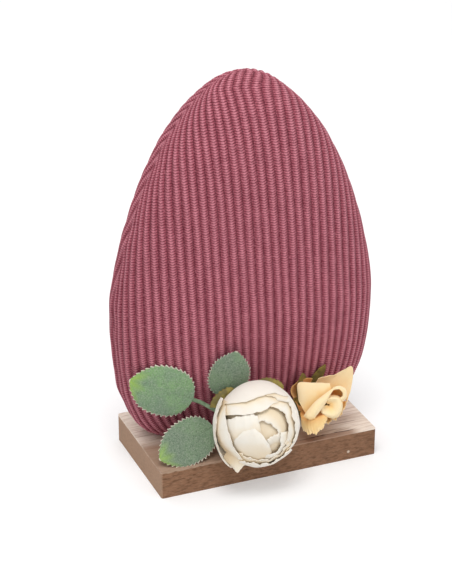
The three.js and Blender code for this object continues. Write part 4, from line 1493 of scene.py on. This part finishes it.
WHITE_PETALS = [
    WrappedPetal(0.9, ((-19.5, 9.5), (-16.8, 11), (-14.5, 11.3), (-8.6, 12.1), (-4.7, 13.1), (-0.1, 14.6),
                       (4.5, 16.2), (8.5, 16.4), (12, 15.6), (15.5, 14.5)), ruffle=0.2, phase=0.4),
    WrappedPetal(1.5, ((0, 18), (4, 15.8), (7.7, 14.6), (10.4, 13.2), (15.3, 11.6), (17, 10.8), (19, 7.5),
                       (20.3, 3.5), (21, -1), (20.9, -5.5), (19, -10.5)),
                 ruffle=0.3, waves=5, phase=1.2, edge=0.2),
    WrappedPetal(0.0, ((-17, 13), (-18.6, 10), (-20.7, 5.8), (-21.5, 1.2), (-21.3, -4.7), (-19.7, -9.3),
                       (-17.1, -12.9), (-14.2, -16.1), (-11.5, -18.5)),
                 opening=(1.5, 1, 0, 0.2, 1.2, 2.6, 4.2, 4.5), ruffle=0.2, phase=2.0, edge=0.5),
    DrapedPetal((
        ((-16, -14, 4), (-13, -15, 7), (-10, -16, 9), (-6, -17, 9)),
        ((-17.5, -16.5, 2), (-14.5, -18, 5), (-10.5, -19, 7), (-6, -18.6, 7)),
        ((-17.2, -18.8, 1), (-14, -20.6, 4), (-10.5, -21.4, 6), (-6.5, -19.8, 6)),
        ((-16.6, -19.4, 0), (-13, -22.6, 3), (-10.8, -24.8, 5), (-7, -21, 5))),
        shade=(1, 0.7, 0.45, 0.3), frill=0.25, waves=5, edge=0.6),
    WrappedPetal(1.2, ((-18, 12), (-17, 10), (-16.9, 5.8), (-16.4, 1.2), (-15.1, -3.7), (-13.5, -8.6),
                       (-11.5, -13.2), (-8, -17.5)), ruffle=0.2, phase=0.8),
    WrappedPetal(2.1, ((-19, 5.5), (-16.4, 5.3), (-9.2, 5.8), (-1.4, 6.7), (4.5, 9), (8, 11.5),
                       (12.5, 12.5)), phase=1.6),
    WrappedPetal(2.5, ((5, 11.5), (7.1, 10), (9.7, 8.7), (12.6, 7.4), (13.9, 5.4), (15, 2.6), (15.7, -1),
                       (15.4, -5.5), (13.8, -9.5)), ruffle=0.25, phase=2.4),
    WrappedPetal(1.5, ((13.5, 13.5), (16.5, 10.6), (17.6, 6), (18.5, 2), (19.5, -2.5), (19, -7), (17, -11),
                       (14, -14.5)), ruffle=0.3, waves=5, phase=0.2),
    WrappedPetal(1.0, ((-9, -17.8), (-6, -18.9), (-1.4, -19.8), (3, -20.2), (8, -19.4), (12.5, -16.2),
                       (16.5, -12)), opening=(0.8, 0.2, 0, 0, 0.6), ruffle=0.4, waves=5, phase=1.1),
    WrappedPetal(2.2, ((-9.5, -14), (-6.5, -16), (-1.4, -17.6), (4.5, -17.8), (9.4, -16.3), (13, -13),
                       (16, -8.5)), ruffle=0.4, waves=5, phase=2.9),
    LaidPetal(2.5, ((-16.5, -4), (-12, -11), (-7, -11), (-3, -9), (2, -5)),
              ((-17, 2.4), (-12, 4.3), (-7.5, 5.4), (-3.5, 6), (-0.6, 5.4)), phase=0.5),
    LaidPetal(2.2, ((-12, -13), (-6, -18.5), (1, -19), (5, -17), (7, -14)),
              ((-12.5, -8), (-9, -3.8), (-4, -1.5), (-0.8, -1.9), (2.4, -5.2), (5.6, -10)), phase=1.5),
    LaidPetal(3.1, ((0, 9.5), (6, 9), (11, 6), (14, 0), (14, -5)),
              ((-1.6, 1.2), (1, 2.8), (5, 1.8), (8.4, -0.6), (11, -4)),
              shade=(1, 0.9, 0.4, 0.0), ruffle=0.35, phase=2.2),
    LaidPetal(2.7, ((17, -3), (17, -8), (15.5, -12), (13, -15.5), (9, -18), (4, -19), (0, -19)),
              ((11.9, -3.5), (11.3, -6.5), (11.7, -9), (11.2, -11.8), (9.5, -13.9), (7, -14.9),
               (3.6, -14.4)), phase=0.9),
    LaidPetal(3.6, ((13.5, -9.5), (10, -8.8), (7.5, -9.4), (5.6, -11)),
              ((11.5, -3.6), (8, -5), (5.6, -6.4), (3.6, -8.4)),
              sink=1.5, shade=(0.6, 0.2, 0.1, 0.1), phase=0.1),
]
# A wide sheet under all the inner petals, in deep painted shade, fills the gaps between them.
WHITE_HEART = LaidPetal(
    4.9, ((-17, 8), (-8, 12), (3, 14), (12, 12), (17, 5)),
    ((-14, -13), (-7, -18), (0, -19.5), (8, -18), (15, -11)),
    sink=0.0, lift=0.0, curl=0.0, shade=(1.0, 0.8, 0.8, 1.0))


YELLOW_PETALS = [
    DrapedPetal((
        ((-6, 2, -8), (-5, 2, -9), (-4, 1, -9), (-3, 0, -9), (-3, -1, -9)),
        ((-4, 7, -7), (-1, 7, -8), (3, 6, -8), (6, 4, -8), (7, 0, -7)),
        ((-3, 11, -5), (3, 12, -6), (9.5, 12, -6), (12, 7, -6), (12.5, 2, -5)),
        ((-1.8, 13.4, -2), (6.7, 15.6, -4), (16.4, 19.6, -3), (16.2, 9.2, -4), (13.8, 1.4, -2))),
        frill=0.3),
    DrapedPetal((
        ((-8, -2, -8), (-8, 0, -9), (-8, 2, -9), (-7, 3, -9), (-6, 3, -9)),
        ((-11, -4, -4), (-12.5, 0, -5), (-13.5, 5, -5), (-11, 8, -5), (-6, 10, -6)),
        ((-12.2, -4, 1), (-14.3, 1.5, 1), (-16.8, 7, 1), (-13.5, 11.8, 0), (-5, 13.8, -1))),
        shade=(1, 1, 0.8), frill=0.4, edge=0.5),
    DrapedPetal((
        ((-7, -3, -8), (-6.5, -4, -8.5), (-5.5, -4.5, -8.5), (-4.5, -4, -8.5), (-4, -3, -8)),
        ((-11.5, -4, 2), (-9, -5, 4), (-5, -5.5, 4.5), (-1, -5, 4), (3, -3, 3)),
        ((-11.5, -7, 7), (-8.5, -7.4, 9.4), (-5, -7.6, 10), (-1.5, -6.6, 9), (2.4, -4.4, 7.5)),
        ((-11.2, -10.5, 6.5), (-8.3, -11.6, 8.6), (-4.8, -11.6, 9), (-1, -10, 8.4), (2.6, -7, 7)),
        ((-10.2, -14.6, 5), (-7, -15.8, 7), (-3.4, -15.4, 7.4), (-0.3, -13, 7), (2.3, -8.8, 6.5))),
        shade=(1, 1, 0.75, 0.35, 0.1), frill=0.6, waves=7),
    DrapedPetal((
        ((-4, -3, -8), (-3, -2.5, -8), (-2, -2, -8), (-1, -1, -8), (-1, 0, -8)),
        ((0, -7, -1), (4, -6.5, -2), (8, -4.5, -2), (10, -2, -3), (11, 1, -3)),
        ((1.1, -11, 4), (5.5, -9, 3), (9.5, -6.6, 2), (12, -2.5, 1), (14, 2, 0))),
        shade=(1, 0.5, 0.05), frill=0.7, waves=9, phase=1),
    DrapedPetal((
        ((-9, -5, 9), (-5, -0.5, 9.5), (0, 4, 9.5), (4.5, 8.5, 9)),
        ((-11.3, -1, 8.3), (-8, 4, 8.6), (-2.5, 8, 8.4), (4, 10.4, 8)),
        ((-12.9, 2.4, 6.6), (-12.8, 11, 6.6), (-5, 11.4, 6.8), (4, 11.2, 7)),
        ((-12.5, 3.5, 4.5), (-12, 10, 4.5), (-5, 11, 5), (3.6, 11, 5.5))),
        shade=(0.6, 0.1, 0, 0.3), frill=0.3, waves=3),
    DrapedPetal((
        ((6.4, 9.7, 10.5), (5.6, 8.2, 11), (4.4, 6.4, 10.4), (3, 4.6, 9)),
        ((1.5, 6.3, 12), (2, 4.6, 12.8), (1.9, 2.6, 12), (1.2, 0.6, 10)),
        ((-4.6, 1.5, 12.8), (-3.4, 0, 13.8), (-2.2, -1.6, 13), (-1.4, -3, 11)),
        ((-9.9, -5, 13), (-8.2, -5.9, 14), (-6, -6.2, 13.4), (-4, -6.2, 11.4)),
        ((-10, -6.5, 11), (-8, -7.6, 11.6), (-6, -7.8, 11), (-4, -7.4, 9.8))),
        shade=(0.1, 0, 0, 0.1, 0.6), frill=0.15, waves=3),
    DrapedPetal((
        ((2, 4, -2), (3, 5, -3), (4, 4, -3), (4, 3, -3), (3, 2, -2)),
        ((5, 8, 4), (8, 9, 3), (11.5, 8, 2), (12.5, 4, 1.5), (10.5, 1, 2)),
        ((5.5, 9.2, 9), (9.2, 9.9, 8), (12.2, 7.8, 6.5), (12.4, 3.8, 5.5), (10, 2.4, 6.5)),
        ((5, 7.5, 9.5), (8.6, 8.2, 8.8), (10.6, 6.6, 7.6), (10.6, 4.2, 6.8), (8.8, 3.6, 7.4))),
        shade=(1, 0.4, 0, 0.1), frill=0.15, waves=3),
    DrapedPetal((
        ((1, 2, -3), (2, 3, -3), (4, 2.5, -3), (5, 0, -3), (4, -2, -3), (2, -3, -3), (0.5, -1.5, -3),
         (0.3, 0.5, -3)),
        ((0.4, 2.6, 4), (4.4, 4.8, 4), (9, 4, 3), (10.6, -0.8, 2), (9.2, -5.4, 2), (5.6, -7.4, 3),
         (0, -5, 4), (-0.8, -0.5, 4)),
        ((0.2, 2.2, 9), (4.4, 3.9, 9.8), (8.2, 3.2, 9), (9.8, -0.6, 8.4), (8.8, -4.4, 8), (5.4, -6.6, 8.4),
         (-0.2, -4.4, 9), (-0.8, -0.8, 8.6)),
        ((1.4, 1.6, 8.4), (4, 2.4, 9.4), (6.4, 1.8, 9), (7, -0.6, 8.6), (6.4, -2.8, 8.4), (4.4, -3.8, 8.6),
         (1.2, -2.6, 8.4), (0.6, -0.6, 8)),
        ((2.8, 0.1, 7.2), (3.2, 0.3, 7.4), (3.7, 0.1, 7.2), (3.8, -0.3, 7), (3.6, -0.6, 7), (3.2, -0.8, 7),
         (2.8, -0.6, 7), (2.7, -0.3, 7.1))),
        shade=(1, 0.4, 0, 0.1, 0.5), frill=0.1, waves=3),
]


# The leaves

@dataclass
class Leaf:
    """One flocked leaf: toothed, cupped and bowed, from its base towards its tip."""

    node: str
    base: Spot
    direction: Spot
    look: Spot
    reach: float
    width: float
    bow: float
    cup: float
    bright: float = 0.75
    fold: float = 0.0
    teeth: int = 19
    tooth: float = 1.6
    thickness: float = 1.0
    lead: float = 0.85
    belly: float = 2.3
    blunt: float = 1.75
    point: float = 1.2
    columns: int = 45
    samples_per_tooth: int = 8
    midrib_depth: float = 0.45
    midrib_width: float = 0.06
    veins: int = 7
    vein_depth: float = 0.18
    vein_slant: float = 0.35
    rim_start: float = 0.955
    bright_start: float = 0.76

    def blade(self) -> Surface:
        """Shape the leaf.

        The half width is a superellipse over the length, more pointed at the tip, with saw teeth that
        lean towards the tip. The blade lifts in a bow along its length, falls towards its edges or from
        a fold, and has a shallow midrib and side veins pressed into it.

        Returns:
            The closed blade.
        """
        axis = np.array(self.direction) / np.linalg.norm(self.direction)
        side = np.cross(self.look, axis)
        side /= np.linalg.norm(side)
        up = np.cross(axis, side)
        fine = (1 - np.cos(np.linspace(0, math.pi, 2000))) / 2
        power = 1 / (self.blunt + (self.point - self.blunt) * fine ** 2)
        width = self.width / 2 * (1 - np.abs(2 * fine ** self.lead - 1) ** self.belly) ** power
        length = np.concatenate([[0], np.cumsum(np.hypot(np.diff(fine) * self.reach, np.diff(width)))])
        even = np.linspace(0, 1, self.teeth * self.samples_per_tooth + 1)
        v = np.interp(even * length[-1], length, fine)[None, :]
        half = np.interp(v[0], fine, width)[None, :]
        u = np.sin(np.linspace(-1, 1, self.columns) * math.pi / 2)[:, None]
        slope = np.stack([np.gradient(v[0] * self.reach), np.gradient(half[0])])
        slope /= np.maximum(np.hypot(*slope), 1e-9)
        ripple = (((even * self.teeth) % 1) ** 1.2 - 0.5) * np.sin(math.pi * even) ** 0.2
        saw = self.tooth * ripple[None, :]
        lean = np.abs(u) ** 10 * saw
        spread = np.maximum(0.3, half + lean * slope[0])
        along = self.reach * v - lean * slope[1]
        bulge = np.minimum(half / (self.width / 2), 1) ** 2
        lift = self.bow * 4 * v * (1 - v) - self.cup * u ** 2 * bulge - self.fold * np.abs(u + 0.15) * bulge
        lift = lift - self.midrib_depth * np.exp(-(u / self.midrib_width) ** 2) * (1 - v)
        veins = np.abs(((v - self.vein_slant * np.abs(u)) * self.veins) % 1 - 0.5) * 2
        lift = lift - self.vein_depth * veins ** 6 * (1 - np.abs(u)) * (np.abs(u) > 0.05)
        middle = (np.array(self.base) + axis * along[..., None]
                  + side * (u * spread)[..., None] + up * lift[..., None])
        edge = np.clip((np.abs(u) * np.ones_like(v) - self.rim_start) / 0.03, 0, 1)
        edge = np.maximum(edge, np.clip((v * np.ones_like(u) - 0.985) / 0.01, 0, 1))
        tip = self.bright * np.minimum(late(v + 0.04 * np.sin(9 * u), self.bright_start), 1)
        thickness = self.thickness * (0.35 + 0.65 * np.clip((1 - np.abs(u)) / 0.2, 0, 1)) * np.ones_like(v)
        return thick_sheet(middle, thickness, {"edge": edge, "tip": tip})

    def build(self, material: bpy.types.Material) -> None:
        """Make the leaf in place of its node."""
        self.blade().stand_in(self.node, "flocked", material, Slot.LEAF)


@dataclass(frozen=True)
class Calyx:
    """The toothed sepals behind a bloom, in one piece.

    Each sepal is its base and its tip, as millimetres to the viewer's right, up and to the viewer from
    the bloom's centre, and its width.
    """

    node: str
    centre: np.ndarray
    sepals: tuple[tuple[Spot, Spot, float], ...]

    def build(self, material: bpy.types.Material) -> None:
        """Shape every sepal as a small leaf and put them in place of the node.

        Args:
            material: the sepals' finish.
        """
        axes = Studio().axes()
        whole = None
        for base, tip, width in self.sepals:
            start = self.centre + np.array(base) @ axes
            way = (np.array(tip) - np.array(base)) @ axes
            reach = float(np.linalg.norm(way))
            sepal = Leaf(self.node, start, way, axes[2], reach, width, 0.9, 0.8,
                         teeth=8, tooth=1.0, thickness=0.6)
            whole = whole.joined(sepal.blade()) if whole else sepal.blade()
        whole.stand_in(self.node, "sepals", material, Slot.SEPAL)


WHITE_SEPALS = (
    ((-12.5, 18.0, -5.0), (-25.0, 8.5, -3.5), 7.0),
    ((13.5, 18.5, -5.5), (0.5, 22.6, -4.5), 6.5),
    ((2.0, 2.0, -18.6), (17.0, 8.0, -14.8), 8.0),
    ((1.0, -2.0, -18.6), (10.0, -16.0, -14.8), 8.0),
    ((-2.0, -2.0, -18.6), (-10.0, -15.0, -14.8), 8.0),
    ((-2.0, 1.0, -18.6), (-17.0, 6.0, -14.8), 8.0),
)


# The photograph's view

@dataclass(frozen=True)
class Studio:
    """Camera, lamps and floor."""

    azimuth: float = -22.34
    elevation: float = 25.20
    distance: float = 990.1
    target: Spot = (-11.85, 0.0, 96.39)
    lens: float = 115.3
    floor_colour: str = "#e6e6e6"
    floor_glow: float = 0.22
    floor_half: float = 3000.0
    sky_strength: float = 0.72
    lamp_target: Spot = (0.0, 0.0, 90.0)

    def axes(self) -> np.ndarray:
        """Work out the viewer's directions.

        Returns:
            Right, up and the way to the viewer, as unit vectors in rows.
        """
        turn, rise = math.radians(self.azimuth), math.radians(self.elevation)
        away = np.array([math.sin(turn) * math.cos(rise), -math.cos(turn) * math.cos(rise), math.sin(rise)])
        right = np.array([math.cos(turn), math.sin(turn), 0.0])
        return np.stack([right, np.cross(away, right), away])

    def camera(self) -> None:
        """Look at the target from the given side, height and distance."""
        data = bpy.data.cameras.new("camera")
        data.lens = self.lens
        data.sensor_width = 36.0
        data.sensor_fit = "AUTO"
        data.clip_start = 0.01
        away = Vector(self.axes()[2])
        camera = bpy.data.objects.new("camera", data)
        camera.location = (Vector(self.target) + away * self.distance) * MM
        camera.rotation_euler = away.to_track_quat("Z", "Y").to_euler()
        bpy.context.scene.collection.objects.link(camera)
        bpy.context.scene.camera = camera

    def lamp(self, name: str, place: Spot, size: float, power: float) -> None:
        """Hang a square soft lamp that looks at the egg.

        Args:
            name: the lamp's name.
            place: where it hangs.
            size: its side.
            power: its power in watts.
        """
        data = bpy.data.lights.new(name, "AREA")
        data.size = size * MM
        data.energy = power
        lamp = bpy.data.objects.new(name, data)
        lamp.location = Vector(place) * MM
        lamp.rotation_euler = (Vector(place) - Vector(self.lamp_target)).to_track_quat("Z", "Y").to_euler()
        bpy.context.scene.collection.objects.link(lamp)

    @staticmethod
    def backdrop_rays(tree: bpy.types.NodeTree) -> Socket:
        """Mark the rays that show the background: to the camera, in gloss and through glass.

        Args:
            tree: the floor's or the world's node tree.

        Returns:
            1 for such a ray, and else 0.
        """
        path = add_node(tree, "LightPath").outputs
        shown = path["Is Camera Ray"]
        for name in ("Is Glossy Ray", "Is Transmission Ray"):
            shown = add_node(tree, "Math", {0: shown, 1: path[name]}, operation="MAXIMUM").outputs[0]
        return shown

    def floor(self) -> None:
        """Lay a wide pale floor that shows as white and keeps the object's shadow."""
        canvas = Canvas("pale_floor")
        values = {"Base Color": linear(self.floor_colour), "Roughness": 1.0, "Specular IOR Level": 0.0,
                  "Emission Color": (*[self.floor_glow] * 3, 1.0)}
        for name, value in values.items():
            canvas.shader.inputs[name].default_value = value
        canvas.tree.links.new(self.backdrop_rays(canvas.tree), canvas.shader.inputs["Emission Strength"])
        far = self.floor_half * MM
        mesh = bpy.data.meshes.new("floor")
        corners = [(-far, -far, 0), (far, -far, 0), (far, far, 0), (-far, far, 0)]
        mesh.from_pydata(corners, [], [(0, 1, 2, 3)])
        mesh.materials.append(canvas.material)
        floor = bpy.data.objects.new("floor", mesh)
        bpy.context.scene.collection.objects.link(floor)

    def world(self) -> None:
        """Surround the object with even white light, and show white where the camera looks past it."""
        world = bpy.data.worlds.new("studio")
        bpy.context.scene.world = world
        world.use_nodes = True
        tree = world.node_tree
        tree.nodes.clear()
        white = linear("#ffffff")
        light = add_node(tree, "Background", {"Color": white, "Strength": self.sky_strength})
        backdrop = add_node(tree, "Background", {"Color": white, "Strength": 1.0})
        inputs = {0: self.backdrop_rays(tree), 1: light.outputs[0], 2: backdrop.outputs[0]}
        add_node(tree, "OutputWorld", {"Surface": add_node(tree, "MixShader", inputs).outputs[0]})

    def build(self) -> None:
        """Set up the whole studio."""
        self.camera()
        self.floor()
        self.world()
        self.lamp("key_lamp", (-350, -550, 1700), 800, 13.0)
        self.lamp("fill_lamp", (700, -1300, 800), 1000, 2.5)
        self.lamp("back_lamp", (-200, 1000, 1300), 800, 3.0)
        bpy.context.scene.view_settings.view_transform = "Standard"


def build_flowers() -> None:
    """Build both roses, their calyxes and the three leaves."""
    # Each cloth: its own colour, two ever deeper colours of painted shade, and its browned edge.
    ivory = PetalCloth("ivory_petal_cloth", "#f4eee2", "#f2e6d2", "#efdcbe", "#9a7a58")
    white = Rose("white_rose", 4.3, -8.0, 20.0, WHITE_PETALS, ivory, Slot.WHITE_PETAL, heart=WHITE_HEART)
    white.build()
    peach = PetalCloth("peach_petal_cloth", "#ffe6b8", "#ffd798", "#f2b36a", "#e6b670")
    Rose("yellow_rose", 5.0, 20.0, 24.0, YELLOW_PETALS, peach, Slot.YELLOW_PETAL, thickness=0.32).build()
    flock = FlockedLeaf("flocked_leaf").material()
    greyer = FlockedLeaf("greyer_flocked_leaf", "#789070", "#72846f", "#4c604a", "#9aa292").material()
    Leaf("leaf_left", base=(-38.7, -18.4, 46.6), direction=(-0.9, 0.25, 0.38), look=(-0.31, -0.9, 0.05),
         reach=35.5, width=29, bow=1.5, cup=1.5).build(flock)
    Leaf("leaf_upper", base=(-21.5, -19.2, 45.2), direction=(0.22, -0.15, 1), look=(-0.25, -0.95, 0.1),
         reach=28.5, width=21.5, bow=2.0, cup=0.4, bright=0.0, fold=1.6).build(greyer)
    Leaf("leaf_lower", base=(-29.9, -25.2, 31.5), direction=(-0.93, -0.1, -0.33), look=(-0.06, -0.78, 0.52),
         reach=33.5, width=24, bow=1, cup=1, bright=0.6).build(greyer)
    sepal = MouldedPlastic("olive_sepal", "#8c7c34", "#645822").material()
    Calyx("white_rose_calyx", white.centre, WHITE_SEPALS).build(sepal)
    dress("yellow_rose_calyx", sepal)


PACKED_PARTS = (
    (StreakedFibreboard(), Slot.FIBREBOARD, ("base_board",)),
    (StainedVeneer(), Slot.VENEER, ("board_top_veneer",)),
    (TurnedBeech(), Slot.BEECH, ("dowel_left", "dowel_right")),
    (MouldedPlastic("white_foam", "#f5f4ef", "#e9e8e2", 0.9), Slot.FOAM, ("egg_foam_core",)),
    (MouldedPlastic("set_glue", "#ebe5d6", "#d8d0bc", 0.35), Slot.GLUE,
     ("glue_pad_white_rose", "glue_pad_yellow_rose")),
    (MouldedPlastic("moulded_stem", "#8a9f80", "#647a5c"), Slot.STEM,
     ("white_rose_stem", "yellow_rose_stem", "leaf_stalk")),
)


def main() -> None:
    """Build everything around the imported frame."""
    logging.basicConfig(level=logging.INFO, format="%(message)s")
    Studio().build()
    KnittedEgg().build()
    build_flowers()
    for finish, slot, names in PACKED_PARTS:
        material = finish.material()
        for name in names:
            dress(name, material)


if __name__ == "__main__":
    main()
